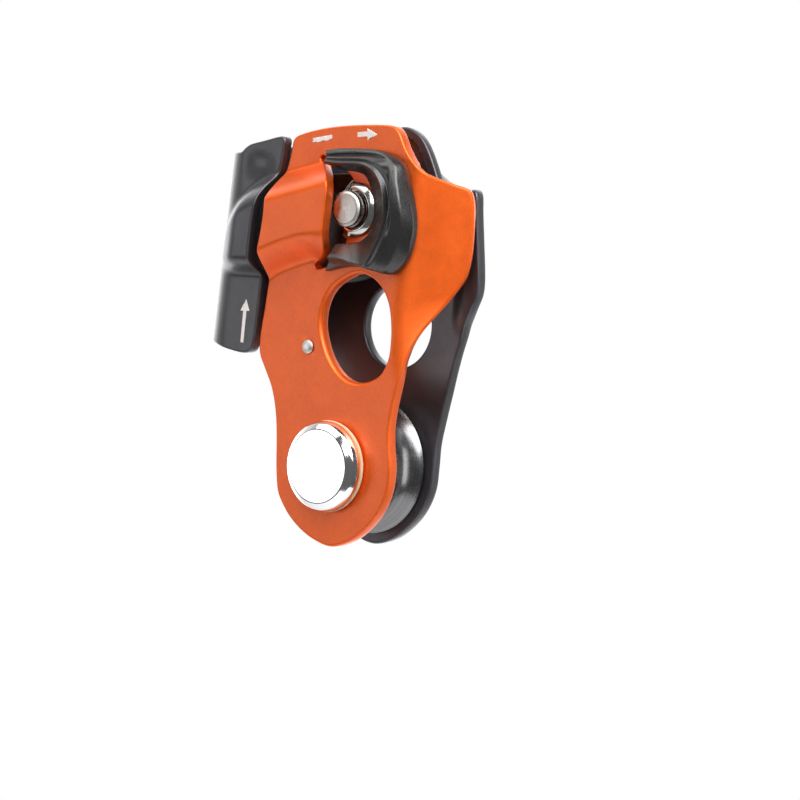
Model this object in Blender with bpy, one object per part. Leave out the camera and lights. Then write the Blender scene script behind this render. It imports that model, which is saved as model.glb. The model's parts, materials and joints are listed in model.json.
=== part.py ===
"""Rope clamp with pulley: two side plates, a toothed cam and a rope sheave.

Design frame, in millimetres: origin on the sheave axle where it crosses the front face of the
swing plate, X to the right, Y to the back, Z up along the rope. It is stored in metres, with
the origin moved to the middle of the carabiner eye.
"""
import math

import bmesh
import bpy
import numpy as np
from mathutils import Matrix, Vector
from mathutils.geometry import delaunay_2d_cdt

MM = 0.001
ORIGIN = Vector((3.0, 10.4, 36.0))      # middle of the carabiner eye
GAP = 0.3                               # clearance between pieces that touch

PLATE_T = 3.1                           # both side plates
PLATE_ROUNDING = 0.55                   # at their rims

SHEAVE_X, SHEAVE_R, SHEAVE_ROOT_R = 0.2, 17.5, 15.0
SHEAVE_MID_Y, SHEAVE_WIDTH = 10.4, 13.3
AXLE_R, HEAD_R = 5.0, 11.45
LOBE_X, LOBE_R = 0.6, 19.2

CAM_X, CAM_Z = -1.2, 65.0
CAM_AXLE_R, CAM_HEAD_R = 3.5, 4.6
CAM_FRONT, CAM_BACK = 6.0, 13.6
CAM_MID_Y = (CAM_FRONT + CAM_BACK) / 2
CAM_TAIL_T = 2.2
CAM_HUB_R = 7.6
CAM_REACH_TOP, CAM_REACH_BOTTOM = 30.6, 33.0
CAM_ARC = (176.0, 216.0)                # toothed arc, degrees from +X
CAM_TEETH = 9
LEVER_FRONT, LEVER_T = 8.6, 2.4
LEVER_RIVETS = ((10.7, 69.0), (2.9, 76.4))

BALL_COUNT, BALL_R, BALL_RING_R = 8, 1.45, 8.6

CHANNEL_X, CHANNEL_Y = -38.9, 9.8       # axis of the rope channel
CHANNEL_R = 10.7                        # outside
CHANNEL_MID_R = CHANNEL_R - PLATE_T / 2

BULGE = 7.9                             # height of the tunnel over the cam axle's head
TONGUE_X = -5.0                         # free edge of the tunnel

EYE_REAR = (2.4, 36.5, 10.8)            # round hole in the fixed plate: x, z, radius
RIVET_X, RIVET_Z = -11.5, 28.8


def clear_scene():
    for obj in list(bpy.data.objects):
        bpy.data.objects.remove(obj, do_unlink=True)


def material(name, colour, metallic, roughness):
    found = bpy.data.materials.get(name)
    if found:
        return found
    made = bpy.data.materials.new(name)
    made.use_nodes = True
    shader = made.node_tree.nodes["Principled BSDF"]
    shader.inputs["Base Color"].default_value = (*colour, 1.0)
    shader.inputs["Metallic"].default_value = metallic
    shader.inputs["Roughness"].default_value = roughness
    return made


def orange_anodised():
    return material("orange_anodised", (0.66, 0.10, 0.02), 0.5, 0.42)


def dark_anodised():
    return material("dark_anodised", (0.055, 0.052, 0.055), 0.5, 0.45)


def dark_plastic():
    return material("dark_plastic", (0.04, 0.038, 0.038), 0.0, 0.5)


def polished_aluminium():
    return material("polished_aluminium", (0.86, 0.86, 0.87), 1.0, 0.18)


def polished_steel():
    return material("polished_steel", (0.62, 0.61, 0.6), 1.0, 0.15)


def brushed_steel():
    return material("brushed_steel", (0.5, 0.49, 0.48), 1.0, 0.32)


def cream_nylon():
    return material("cream_nylon", (0.72, 0.55, 0.33), 0.0, 0.5)


def bronze():
    return material("bronze", (0.6, 0.38, 0.16), 1.0, 0.35)


def at(x, y, z):
    """A point of the design frame, in the stored frame's metres."""
    return (Vector((x, y, z)) - ORIGIN) * MM


def finish(bm, name, look, pivot=ORIGIN, sharp=35.0):
    """Make the object from a mesh in design millimetres, with its origin at pivot."""
    pivot = Vector(pivot)
    bmesh.ops.recalc_face_normals(bm, faces=bm.faces)
    to_stored = Matrix.Scale(MM, 4) @ Matrix.Translation(-pivot)
    bmesh.ops.transform(bm, matrix=to_stored, verts=bm.verts)
    mesh = bpy.data.meshes.new(name)
    bm.to_mesh(mesh)
    bm.free()
    mesh.shade_smooth()
    mesh.set_sharp_from_angle(angle=math.radians(sharp))
    mesh.materials.append(look)
    obj = bpy.data.objects.new(name, mesh)
    obj.location = at(*pivot)
    bpy.context.scene.collection.objects.link(obj)
    return obj


def smooth_loop(points, steps=3):
    """Closed curve through the points: centripetal-like Catmull-Rom, as an array of 2-D points."""
    pts = np.array(points, float)
    n = len(pts)
    out = []
    for i in range(n):
        p0, p1, p2, p3 = pts[i - 1], pts[i], pts[(i + 1) % n], pts[(i + 2) % n]
        chord = np.linalg.norm(p2 - p1)
        m1 = (p2 - p0) / (np.linalg.norm(p2 - p1) + np.linalg.norm(p1 - p0)) * chord
        m2 = (p3 - p1) / (np.linalg.norm(p3 - p2) + np.linalg.norm(p2 - p1)) * chord
        for k in range(steps):
            t = k / steps
            out.append(
                (2 * t**3 - 3 * t**2 + 1) * p1
                + (t**3 - 2 * t**2 + t) * m1
                + (3 * t**2 - 2 * t**3) * p2
                + (t**3 - t**2) * m2
            )
    return np.array(out)


def even_loop(points, spacing):
    """The closed curve again, with points evenly spaced along it."""
    closed = np.vstack([points, points[:1]])
    along = np.concatenate([[0], np.cumsum(np.linalg.norm(np.diff(closed, axis=0), axis=1))])
    count = max(8, int(round(along[-1] / spacing)))
    where = np.arange(count) * along[-1] / count
    return np.column_stack([np.interp(where, along, closed[:, k]) for k in (0, 1)])


def circle(x, z, radius, count):
    turn = np.arange(count) * 2 * math.pi / count
    return np.column_stack([x + radius * np.cos(turn), z + radius * np.sin(turn)])


def signed_area(loop):
    x, z = loop[:, 0], loop[:, 1]
    return 0.5 * float(np.sum(x * np.roll(z, -1) - np.roll(x, -1) * z))


def inset(loop, distance, hole):
    """Move each point of the loop into the material."""
    ahead = np.roll(loop, -1, axis=0) - np.roll(loop, 1, axis=0)
    ahead /= np.linalg.norm(ahead, axis=1)[:, None]
    left = np.column_stack([-ahead[:, 1], ahead[:, 0]])
    side = 1.0 if (signed_area(loop) > 0) != hole else -1.0
    return loop + left * side * distance


def inside(points, loop):
    x, z = points[:, 0][:, None], points[:, 1][:, None]
    ax, az = loop[:, 0], loop[:, 1]
    bx, bz = np.roll(ax, -1), np.roll(az, -1)
    crosses = (az > z) != (bz > z)
    with np.errstate(divide="ignore", invalid="ignore"):
        hit = x < (bx - ax) * (z - az) / (bz - az) + ax
    return (crosses & hit).sum(axis=1) % 2 == 1


def filled(outer, holes, grid):
    """Triangles between the outline and the holes: (points, faces), the loops' points first."""
    loops = [outer, *holes]
    points = np.vstack(loops)
    edges, start = [], 0
    for loop in loops:
        n = len(loop)
        edges += [(start + i, start + (i + 1) % n) for i in range(n)]
        start += n
    keep = inside(grid, outer)
    for hole in holes:
        keep &= ~inside(grid, hole)
    grid = grid[keep]
    near = np.min(np.linalg.norm(grid[:, None] - points[None], axis=2), axis=1)
    spacing = np.median(np.linalg.norm(outer - np.roll(outer, 1, axis=0), axis=1))
    grid = grid[near > 0.55 * spacing]
    everything = np.vstack([points, grid])
    verts, _, faces, *_ = delaunay_2d_cdt([Vector(p) for p in everything], edges, [], 0, 1e-7)
    verts = np.array([tuple(v) for v in verts])
    faces = np.array([f for f in faces if len(f) == 3])
    middle = verts[faces].mean(axis=1)
    keep = inside(middle, outer)
    for hole in holes:
        keep &= ~inside(middle, hole)
    return verts, faces[keep], len(points)


def sheet(outer, holes, grid, place, thickness, rounding, steps=2):
    """A plate of even thickness with rounded rims. place(x, z, depth) bends it into 3-D."""
    loops = [(outer, False)] + [(hole, True) for hole in holes]
    inner = [inset(loop, rounding, hole) for loop, hole in loops]
    flat, faces, rim = filled(inner[0], inner[1:], grid)
    bm = bmesh.new()
    front = [bm.verts.new(place(x, z, 0.0)) for x, z in flat]
    back = [bm.verts.new(place(x, z, thickness)) for x, z in flat]
    for a, b, c in faces:
        bm.faces.new((front[a], front[b], front[c]))
        bm.faces.new((back[c], back[b], back[a]))
    turns = [math.pi / 2 * k / steps for k in range(1, steps + 1)]
    rows = [(rounding * (1 - math.sin(a)), rounding * (1 - math.cos(a))) for a in turns]
    rows += [(pull, thickness - depth) for pull, depth in reversed(rows)]
    start = 0
    for loop, hole in loops:
        n = len(loop)
        ring = [front[start + i] for i in range(n)]
        for pull, depth in rows:
            shape = inset(loop, pull, hole) if pull > 1e-6 else loop
            row = [bm.verts.new(place(x, z, depth)) for x, z in shape]
            join_rings(bm, ring, row)
            ring = row
        join_rings(bm, ring, [back[start + i] for i in range(n)])
        start += n
    return bm


def join_rings(bm, first, second):
    n = len(first)
    for i in range(n):
        j = (i + 1) % n
        bm.faces.new((first[i], first[j], second[j], second[i]))


def hex_grid(x0, x1, z0, z1, spacing):
    rows = []
    for k, z in enumerate(np.arange(z0, z1, spacing * 0.866)):
        shift = spacing / 2 if k % 2 else 0.0
        rows += [(x + shift, z) for x in np.arange(x0, x1, spacing)]
    return np.array(rows)


def lathe(profile, x, z, segments):
    """Turn (radius, y) points about the line through (x, z) along Y. A radius of 0 closes an end."""
    bm = bmesh.new()
    rings = []
    turn = [2 * math.pi * k / segments for k in range(segments)]
    for radius, y in profile:
        if radius < 1e-6:
            rings.append([bm.verts.new((x, y, z))])
            continue
        rings.append([bm.verts.new((x + radius * math.cos(a), y, z + radius * math.sin(a)))
                      for a in turn])
    closed = len(rings[0]) > 1
    pairs = list(zip(rings, rings[1:]))
    if closed:
        pairs.append((rings[-1], rings[0]))
    for first, second in pairs:
        if len(first) == 1 or len(second) == 1:
            tip, ring = (first[0], second) if len(first) == 1 else (second[0], first)
            for i in range(segments):
                bm.faces.new((tip, ring[i], ring[(i + 1) % segments]))
        else:
            join_rings(bm, first, second)
    return bm


def ring_profile(inner, outer, y0, y1, chamfer=0.2):
    """Section of a ring with its outer corners chamfered."""
    return [(inner, y0), (outer - chamfer, y0), (outer, y0 + chamfer), (outer, y1 - chamfer),
            (outer - chamfer, y1), (inner, y1)]


def ramp(value, low, high):
    """0 below low, 1 above high, smooth between."""
    t = min(1.0, max(0.0, (value - low) / (high - low)))
    return t * t * (3 - 2 * t)


# ---------------------------------------------------------------- side plates

def lobe_points():
    """The round lower end about the sheave axle, clockwise from the right, with a blunt low tip."""
    points = []
    for degrees in range(8, -190, -18):
        a = math.radians(degrees)
        tip = 1.1 * math.exp(-(((degrees + 80) / 20) ** 2))
        points.append((LOBE_X + (LOBE_R + tip) * math.cos(a), (LOBE_R + tip) * math.sin(a)))
    return points


def swing_outline():
    left = [(-19.4, 7.0), (-20.8, 12.4), (-22.8, 17.0), (-25.4, 20.8), (-27.9, 24.6), (-28.5, 29.0),
            (-28.1, 36.0), (-27.7, 43.3), (-26.9, 47.6), (-26.0, 52.5), (-25.5, 58.0),
            (-25.5, 63.0), (-26.2, 67.0), (-26.6, 70.0), (-25.8, 73.4), (-25.2, 77.0)]
    top = [(-24.9, 80.2), (-23.7, 81.5), (-16.3, 83.9), (-8.2, 85.5), (0.0, 86.5), (5.6, 86.9),
           (8.0, 86.6), (9.8, 85.1)]
    wing = [(12.0, 81.8), (15.0, 78.8), (18.9, 76.1), (23.2, 74.4), (25.8, 73.6), (26.7, 72.2),
            (27.3, 69.5), (28.0, 62.0), (28.1, 56.0), (27.6, 52.2), (26.2, 48.6), (24.5, 45.0),
            (22.9, 41.4), (21.3, 37.0), (19.9, 31.5), (19.0, 25.4)]
    right = [(18.0, 19.0), (17.7, 13.0), (18.4, 8.0)]
    return smooth_loop(left + top + wing + right + lobe_points()[:-1], 3)


def front_eye():
    """Egg-shaped carabiner eye, counter-clockwise from its top."""
    return smooth_loop([(1.9, 49.2), (-2.4, 47.3), (-6.2, 44.2), (-8.2, 40.0), (-8.3, 34.9),
                        (-6.4, 30.0), (-3.5, 26.0), (0.2, 23.2), (4.2, 22.1), (8.4, 22.8),
                        (12.3, 25.2), (14.2, 29.0), (14.4, 33.5), (13.8, 38.2), (12.4, 42.7),
                        (9.9, 46.2), (6.2, 48.6)], 3)


def tunnel_mouth():
    """The hole beside the tunnel's tongue: two slits and the notch that the cam axle sits in."""
    notch = [(CAM_X + 4.1 * math.cos(a), CAM_Z + 4.1 * math.sin(a))
             for a in np.radians(np.arange(80, -81, -20))]
    plate_side = [(-15.2, 76.5), (-14.4, 77.4), (-13.2, 77.0), (-9.0, 75.6), (-5.6, 74.0),
                  (-3.2, 72.0)]
    lower = [(-2.4, 60.0), (-3.3, 58.0), (-3.7, 55.0), (-4.6, 52.4), (-7.0, 50.4), (-10.8, 48.9),
             (-12.0, 48.7)]
    tongue = [(-12.9, 49.6), (-12.3, 50.4), (-10.9, 51.2), (-8.6, 52.5), (-6.4, 54.4), (-5.2, 57.2),
              (-5.0, 61.0), (-5.0, 66.0), (-5.1, 69.6), (-5.9, 71.4), (-7.8, 72.8), (-11.0, 74.2),
              (-14.0, 75.6)]
    return smooth_loop(plate_side + notch + lower + tongue, 2)


def wing_bend(x, z):
    """How far back the right-hand wing is bent."""
    profile_x = (13.5, 15.5, 18.0, 20.0, 22.5, 25.0, 27.5, 29.0)
    profile_y = (0.0, 0.25, 1.5, 3.9, 7.0, 9.4, 11.0, 11.5)
    return float(np.interp(x, profile_x, profile_y)) * ramp(z, 20.0, 46.0)


def tunnel_height(x, z):
    """How far forward the tunnel over the cam axle stands: a flat top between two ramps."""
    slit_top = float(np.interp(x, (-15.0, -13.6, -10.0, -6.7, -4.5), (77.5, 76.3, 74.9, 73.2, 71.5)))
    slit_low = float(np.interp(x, (-13.0, -10.8, -7.8, -5.5, -4.5), (49.3, 50.0, 51.5, 53.4, 56.0)))
    if x > TONGUE_X + 0.4 or (x > -15.0 and z > slit_top) or (x > -13.0 and z < slit_low):
        return 0.0
    foot = 76.1 + 0.325 * (x + 14.4)
    low_foot = float(np.interp(x, (-28.0, -24.9, -19.4, -16.0, -12.0, -9.2, -5.0),
                               (43.2, 45.4, 48.0, 49.3, 50.5, 49.9, 48.4)))
    low_top = float(np.interp(x, (-28.0, -24.9, -19.4, -16.0, -12.0), (51.3, 52.4, 54.7, 56.6, 57.2)))
    slope = ((0.0, 0.15, 0.85, 1.0), (0.0, 0.07, 0.93, 1.0))
    over = float(np.interp((foot - z) / 8.4, *slope))
    under = float(np.interp((z - low_foot) / (low_top - low_foot), *slope))
    return BULGE * min(over, under)


def swing_place(x, z, depth):
    forward = tunnel_height(x, z)
    back = wing_bend(x, z)
    slope = (wing_bend(x + 0.4, z) - wing_bend(x - 0.4, z)) / 0.8
    thick = depth * math.sqrt(1 + slope * slope)
    return (x, back - forward + thick, z)


def swing_side_plate():
    outer = even_loop(swing_outline(), 2.9)
    eye = even_loop(front_eye(), 2.4)
    mouth = even_loop(tunnel_mouth(), 1.5)
    axle_hole = circle(SHEAVE_X, 0.0, 7.0, 28)
    rivet_hole = circle(RIVET_X, RIVET_Z, 1.5, 12)
    grid = np.vstack([
        hex_grid(-30, 14, -20, 42, 8.0),
        hex_grid(-29.5, -4, 42.5, 76, 2.4),
        hex_grid(-24, 13, 76.5, 88, 6.0),
        hex_grid(-3, 13, 50, 76, 6.0),
        hex_grid(14.2, 29.5, 22, 80, 3.0),
    ])
    bm = sheet(outer, [eye, mouth, axle_hole, rivet_hole], grid, swing_place, PLATE_T,
               PLATE_ROUNDING, 1)
    return finish(bm, "swing_side_plate", orange_anodised(), (SHEAVE_X, 0.0, 0.0))


def channel_point(s, z, depth):
    """Wrap the flat pattern: s is x on the back plate, then runs round the channel to its lip."""
    offset = PLATE_T / 2 - depth
    radius = CHANNEL_MID_R
    arc = (CHANNEL_X - s) / radius
    if arc <= 0:
        return (s, CHANNEL_Y + radius - offset, z)
    if arc < math.pi:
        r = radius - offset
        return (CHANNEL_X - r * math.sin(arc), CHANNEL_Y + r * math.cos(arc), z)
    return (CHANNEL_X + (arc - math.pi) * radius, CHANNEL_Y - radius + offset, z)


def lip_bulge(s, z):
    """How far the channel's front bulges forward over the cam, in its middle."""
    arc = (CHANNEL_X - s) / CHANNEL_MID_R
    across = ramp(arc, 2.5, 3.6)
    foot = float(np.interp(arc, (2.4, 2.76, 3.15, 3.69, 4.3), (56.5, 60.5, 65.0, 69.0, 71.6)))
    return 6.1 * across * ramp(z, 42.9, 48.4) * (1 - ramp(z, foot - 8.5, foot))


def fixed_place(s, z, depth):
    x, y, z = channel_point(s, z, depth)
    wing = 2.6 * ramp(s, 19.0, 25.0) * ramp(z, 34.0, 46.0)
    return (x, y - wing - lip_bulge(s, z), z)


def lip_s(x):
    """Flat-pattern place of a point at x on the channel's front lip."""
    return CHANNEL_X - math.pi * CHANNEL_MID_R - (x - CHANNEL_X)


def fixed_outline():
    leftmost = CHANNEL_X - math.pi / 2 * CHANNEL_MID_R
    left = [(-19.4, 7.0), (-20.8, 12.4), (-22.6, 17.0), (-25.0, 20.6), (-28.6, 23.2), (-33.0, 24.4),
            (CHANNEL_X, 24.8), (leftmost, 25.6), (lip_s(-44.0), 25.0), (lip_s(-38.0), 24.2),
            (lip_s(-32.5), 24.1), (lip_s(-30.2), 25.2), (lip_s(-29.5), 27.6)]
    lip = [(lip_s(-29.4), 34.0), (lip_s(-29.4), 42.0), (lip_s(-29.6), 48.0), (lip_s(-29.8), 56.0),
           (lip_s(-29.3), 64.0), (lip_s(-28.2), 69.0), (lip_s(-27.2), 74.0), (lip_s(-26.9), 78.4),
           (lip_s(-27.0), 80.3), (lip_s(-28.4), 80.8)]
    top = [(lip_s(-34.0), 79.2), (lip_s(-38.6), 77.8), (lip_s(-39.9), 77.0), (lip_s(-42.0), 75.4),
           (leftmost, 75.2), (CHANNEL_X - 4.0, 77.5), (CHANNEL_X + 3.0, 79.6), (-25.0, 80.6),
           (-10.0, 80.8), (0.0, 79.6), (6.0, 77.6), (12.0, 74.6), (17.0, 73.2)]
    right = [(21.0, 73.5), (23.4, 73.6), (24.6, 72.4), (25.4, 68.0), (27.0, 60.0), (28.5, 52.0),
             (28.6, 47.8), (27.0, 43.4), (24.9, 39.4), (23.1, 34.4), (21.9, 28.0), (21.1, 22.0),
             (20.2, 15.5), (19.4, 8.4)]
    return smooth_loop(left + lip + top + right + lobe_points()[:-1], 3)


def fixed_side_plate():
    outer = even_loop(fixed_outline(), 3.0)
    eye = circle(*EYE_REAR, 32)
    axle_hole = circle(SHEAVE_X, 0.0, 5.4, 24)
    cam_hole = circle(CAM_X, CAM_Z, 3.8, 20)
    grid = np.vstack([
        hex_grid(lip_s(-28.0), CHANNEL_X + 2.0, 26.0, 80.0, 3.0),
        hex_grid(CHANNEL_X + 4.0, 18.0, -16.0, 79.0, 8.0),
        hex_grid(19.0, 26.0, 36.0, 73.0, 3.0),
    ])
    bm = sheet(outer, [eye, axle_hole, cam_hole], grid, fixed_place, PLATE_T, PLATE_ROUNDING, 1)
    return finish(bm, "fixed_side_plate", dark_anodised())


# ---------------------------------------------------------------- thumb guard

def guard_outline():
    outer = [(-11.9, 77.4), (-9.8, 78.5), (-5.6, 79.3), (2.5, 79.9), (8.1, 79.2), (11.8, 77.2),
             (14.4, 73.0), (16.3, 68.2), (18.2, 64.2), (17.6, 59.7), (16.1, 55.1), (13.4, 51.8),
             (8.9, 50.4), (4.9, 50.5), (1.5, 51.0), (-2.0, 50.4), (-5.5, 49.0)]
    low_end = [(-8.6, 48.2), (-8.9, 49.0), (-6.6, 49.8), (-4.7, 51.0), (-4.0, 53.0), (-3.9, 55.2)]
    inner = [(-2.6, 55.0), (1.0, 54.4), (4.6, 55.4), (7.2, 58.0), (8.4, 61.4), (8.5, 65.4),
             (6.9, 69.6), (4.0, 72.4), (0.0, 73.6), (-5.6, 74.3), (-9.8, 75.2), (-11.6, 76.0)]
    return smooth_loop(outer + low_end + inner, 3)


def guard_front(x, z):
    """Height of the guard over the plate: a ridge near its inner edge, falling away outwards."""
    dx, dz = x - CAM_X, z - CAM_Z
    reach = math.hypot(dx, dz * 0.95)
    return 5.8 - 3.4 * ramp(reach, 11.5, 19.0) - 1.0 * ramp(10.0 - reach, 0.0, 2.5)


def guard_place(x, z, depth):
    height = guard_front(x, z)
    return (x, -GAP - height * (1 - depth), z)


def thumb_guard():
    outer = even_loop(guard_outline(), 1.9)
    return flat_piece("thumb_guard", outer, [], hex_grid(-14, 19, 48, 81, 2.6), guard_place, 1.0,
                      dark_plastic(), (SHEAVE_X, 0.0, 0.0))


# ---------------------------------------------------------------- swing plate fittings

def wear_ring():
    """C-shaped steel ring round the notch, open on the left where the cam axle leaves."""
    bm = bmesh.new()
    rows = []
    section = [(4.35, -0.3), (4.35, -1.3), (5.6, -1.5), (6.4, -1.2), (6.9, -0.3)]
    for degrees in np.linspace(-111, 101, 25):
        a = math.radians(degrees)
        rows.append([bm.verts.new((CAM_X + r * math.cos(a), y, CAM_Z + r * math.sin(a)))
                     for r, y in section])
    for first, second in zip(rows, rows[1:]):
        join_rings(bm, first, second)
    bm.faces.new(rows[0])
    bm.faces.new(list(reversed(rows[-1])))
    return finish(bm, "wear_ring", polished_steel(), (SHEAVE_X, 0.0, 0.0))


def stop_rivet():
    profile = [(0.0, -0.8), (1.2, -0.75), (1.75, -0.35), (1.75, -0.3), (1.2, -0.28), (1.2, 3.0),
               (0.0, 3.05)]
    bm = lathe(profile, RIVET_X, RIVET_Z, 14)
    return finish(bm, "stop_rivet", polished_steel(), (SHEAVE_X, 0.0, 0.0))


def plate_bushing():
    bm = lathe(ring_profile(AXLE_R + GAP, 6.7, -0.2, PLATE_T), SHEAVE_X, 0.0, 28)
    return finish(bm, "plate_bushing", bronze(), (SHEAVE_X, 0.0, 0.0))


# ---------------------------------------------------------------- sheave and its axle

def sheave():
    half = SHEAVE_WIDTH / 2
    mid = SHEAVE_MID_Y
    groove = []
    for k in range(7):
        t = -1 + k / 3
        depth = math.cos(t * math.pi / 2) ** 0.8 if abs(t) < 1 else 0.0
        groove.append((SHEAVE_R - (SHEAVE_R - SHEAVE_ROOT_R) * depth, mid + t * (half - 1.0)))
    profile = [(12.5, mid - 4.3), (12.5, mid - half + 0.2), (16.9, mid - half), *groove,
               (16.9, mid + half), (12.5, mid + half - 0.2), (12.5, mid + 4.3)]
    bm = lathe(profile, SHEAVE_X, 0.0, 40)
    return finish(bm, "sheave", polished_aluminium(), (SHEAVE_X, SHEAVE_MID_Y, 0.0), 30)


def race(name, inner, outer, half, groove_side):
    """A bearing race with a shallow ball groove on its inner or outer side."""
    mid = SHEAVE_MID_Y
    if groove_side == "outer":
        profile = [(inner, mid - half), (outer, mid - half), (outer, mid - 1.0), (outer - 0.25, mid),
                   (outer, mid + 1.0), (outer, mid + half), (inner, mid + half)]
    else:
        profile = [(inner, mid - half), (outer, mid - half), (outer, mid + half), (inner, mid + half),
                   (inner, mid + 1.0), (inner + 0.25, mid), (inner, mid - 1.0)]
    bm = lathe(profile, SHEAVE_X, 0.0, 32)
    return finish(bm, name, polished_steel(), (SHEAVE_X, SHEAVE_MID_Y, 0.0), 30)


def ball(index):
    a = 2 * math.pi * index / BALL_COUNT
    centre = Vector((SHEAVE_X + BALL_RING_R * math.cos(a), SHEAVE_MID_Y, BALL_RING_R * math.sin(a)))
    bm = bmesh.new()
    bmesh.ops.create_icosphere(bm, subdivisions=2, radius=BALL_R)
    bmesh.ops.translate(bm, vec=centre, verts=bm.verts)
    return finish(bm, f"bearing_ball_{index + 1}", polished_steel(),
                  (SHEAVE_X, SHEAVE_MID_Y, 0.0), 180)


def bearing_cage():
    cage = finish(lathe(ring_profile(8.05, 9.15, SHEAVE_MID_Y - 2.4, SHEAVE_MID_Y + 2.4, 0.15),
                        SHEAVE_X, 0.0, 32),
                  "bearing_cage", bronze(), (SHEAVE_X, SHEAVE_MID_Y, 0.0))
    bm = bmesh.new()
    for index in range(BALL_COUNT):
        a = 2 * math.pi * index / BALL_COUNT
        turn = Matrix.Rotation(-a, 4, "Y") @ Matrix.Rotation(math.pi / 2, 4, "Y")
        centre = (SHEAVE_X + BALL_RING_R * math.cos(a), SHEAVE_MID_Y, BALL_RING_R * math.sin(a))
        bmesh.ops.create_cone(bm, cap_ends=True, segments=10, radius1=1.7, radius2=1.7, depth=4.0,
                              matrix=Matrix.Translation(centre) @ turn)
    cutter = finish(bm, "cage_pockets", bronze(), (SHEAVE_X, SHEAVE_MID_Y, 0.0))
    cutter.hide_render = True
    cutter.display_type = "WIRE"
    cut = cage.modifiers.new("pockets", "BOOLEAN")
    cut.operation = "DIFFERENCE"
    cut.object = cutter
    return cage


def sheave_axle():
    """Shank with the broad polished head in front of the swing plate."""
    profile = [(0.0, -5.0), (9.6, -5.0), (10.5, -4.7), (11.2, -3.9), (HEAD_R, -3.0), (HEAD_R, -2.0),
               (11.0, -1.5), (AXLE_R, -1.5), (AXLE_R, 23.2), (0.0, 23.2)]
    bm = lathe(profile, SHEAVE_X, 0.0, 40)
    return finish(bm, "sheave_axle", polished_aluminium(), (SHEAVE_X, 0.0, 0.0), 25)


def axle_rear_head():
    """Riveted rear head, a ring upset round the end of the shank."""
    profile = [(AXLE_R + GAP, 21.9), (8.6, 21.9), (8.9, 22.2), (8.6, 23.0), (7.6, 23.4),
               (AXLE_R + GAP, 23.4)]
    bm = lathe(profile, SHEAVE_X, 0.0, 36)
    return finish(bm, "axle_rear_head", polished_aluminium(), (SHEAVE_X, 0.0, 0.0), 25)


def turned_ring(name, look, inner, outer, y0, y1, x=SHEAVE_X, z=0.0):
    return finish(lathe(ring_profile(inner, outer, y0, y1), x, z, 26), name, look, (x, 0.0, z))


# ---------------------------------------------------------------- cam

def cam_reach(degrees):
    low, high = CAM_ARC
    return CAM_REACH_TOP + (CAM_REACH_BOTTOM - CAM_REACH_TOP) * (degrees - low) / (high - low)


def polar_points(polar):
    """Points about the cam axle from (degrees, radius) pairs."""
    return np.array([(CAM_X + r * math.cos(math.radians(a)), CAM_Z + r * math.sin(math.radians(a)))
                     for a, r in polar])


def cam_outline():
    """Hub, toothed arm on the rope side and the spiral underside, counter-clockwise."""
    low, high = CAM_ARC
    step = (high - low) / CAM_TEETH
    polar = []
    for k in range(CAM_TEETH):
        root = low + k * step
        polar += [(root, cam_reach(root) - 0.5), (root + 0.62 * step, cam_reach(root) + 0.7)]
    polar += [(high, cam_reach(high) - 0.5), (219.0, 31.6), (224.0, 29.0), (230.0, 26.2),
              (237.0, 23.5), (244.0, 21.3), (252.0, 19.1), (260.0, 17.3), (268.0, 15.6),
              (277.0, 13.2), (288.0, 10.2), (300.0, CAM_HUB_R + 0.6)]
    polar += [(a, CAM_HUB_R) for a in range(315, 460, 14)]
    polar += [(112.0, 9.0), (132.0, 11.5), (152.0, 16.5), (166.0, 23.0), (173.0, 28.6)]
    return polar_points(polar)


def cam_tail_outline():
    """The thin tail on the other side of the hub, which the lever is riveted to."""
    outer = [(330.0, 6.6), (346.0, 8.6), (356.0, 11.0), (8.0, 15.0), (20.0, 16.0), (38.0, 15.0),
             (54.0, 14.8), (70.0, 15.4), (84.0, 13.4), (94.0, 9.8), (104.0, 6.8)]
    return polar_points(outer + [(a, 5.6) for a in range(90, -31, -20)])


def cam_place(x, z, depth):
    return (x, CAM_FRONT + depth, z)


def flat_piece(name, outline, holes, grid, place, thickness, look, pivot):
    """A sheet with square rims."""
    bm = sheet(outline, holes, grid, place, thickness, 0.0001, 1)
    bmesh.ops.remove_doubles(bm, verts=bm.verts, dist=0.01)
    return finish(bm, name, look, pivot)


def cam():
    slot = smooth_loop(polar_points([(184, 25.0), (190, 26.4), (200, 26.8), (206, 26.0), (204, 24.0),
                                     (196, 23.6), (188, 23.4)]), 2)
    pivot = (CAM_X, CAM_MID_Y, CAM_Z)
    bore = circle(CAM_X, CAM_Z, 5.0, 24)
    body = flat_piece("cam", cam_outline(), [bore, slot], hex_grid(-34, 8, 40, 76, 5.0), cam_place,
                      CAM_BACK - CAM_FRONT, brushed_steel(), pivot)
    holes = [circle(x, z, 1.5, 10) for x, z in LEVER_RIVETS]
    tail = flat_piece("cam_tail", cam_tail_outline(), holes, hex_grid(-2, 16, 60, 82, 5.0), cam_place,
                      CAM_TAIL_T, brushed_steel(), pivot)
    tail.hide_render = True
    tail.display_type = "WIRE"
    joined = body.modifiers.new("tail", "BOOLEAN")
    joined.operation = "UNION"
    joined.object = tail
    return body


def lever_outline():
    outer = [(7.8, 64.8), (11.4, 65.8), (15.4, 67.6), (18.2, 69.8), (18.6, 72.0), (16.8, 75.0),
             (14.7, 78.6), (12.6, 81.8), (10.4, 84.4), (7.6, 86.2), (4.4, 87.0), (1.4, 86.2),
             (-0.6, 83.4), (-1.6, 79.0), (-1.4, 75.2), (0.2, 74.0), (3.6, 72.5), (6.2, 70.0),
             (7.6, 67.0)]
    return smooth_loop(outer, 3)


def lever_place(x, z, depth):
    return (x, LEVER_FRONT + depth, z)


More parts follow.
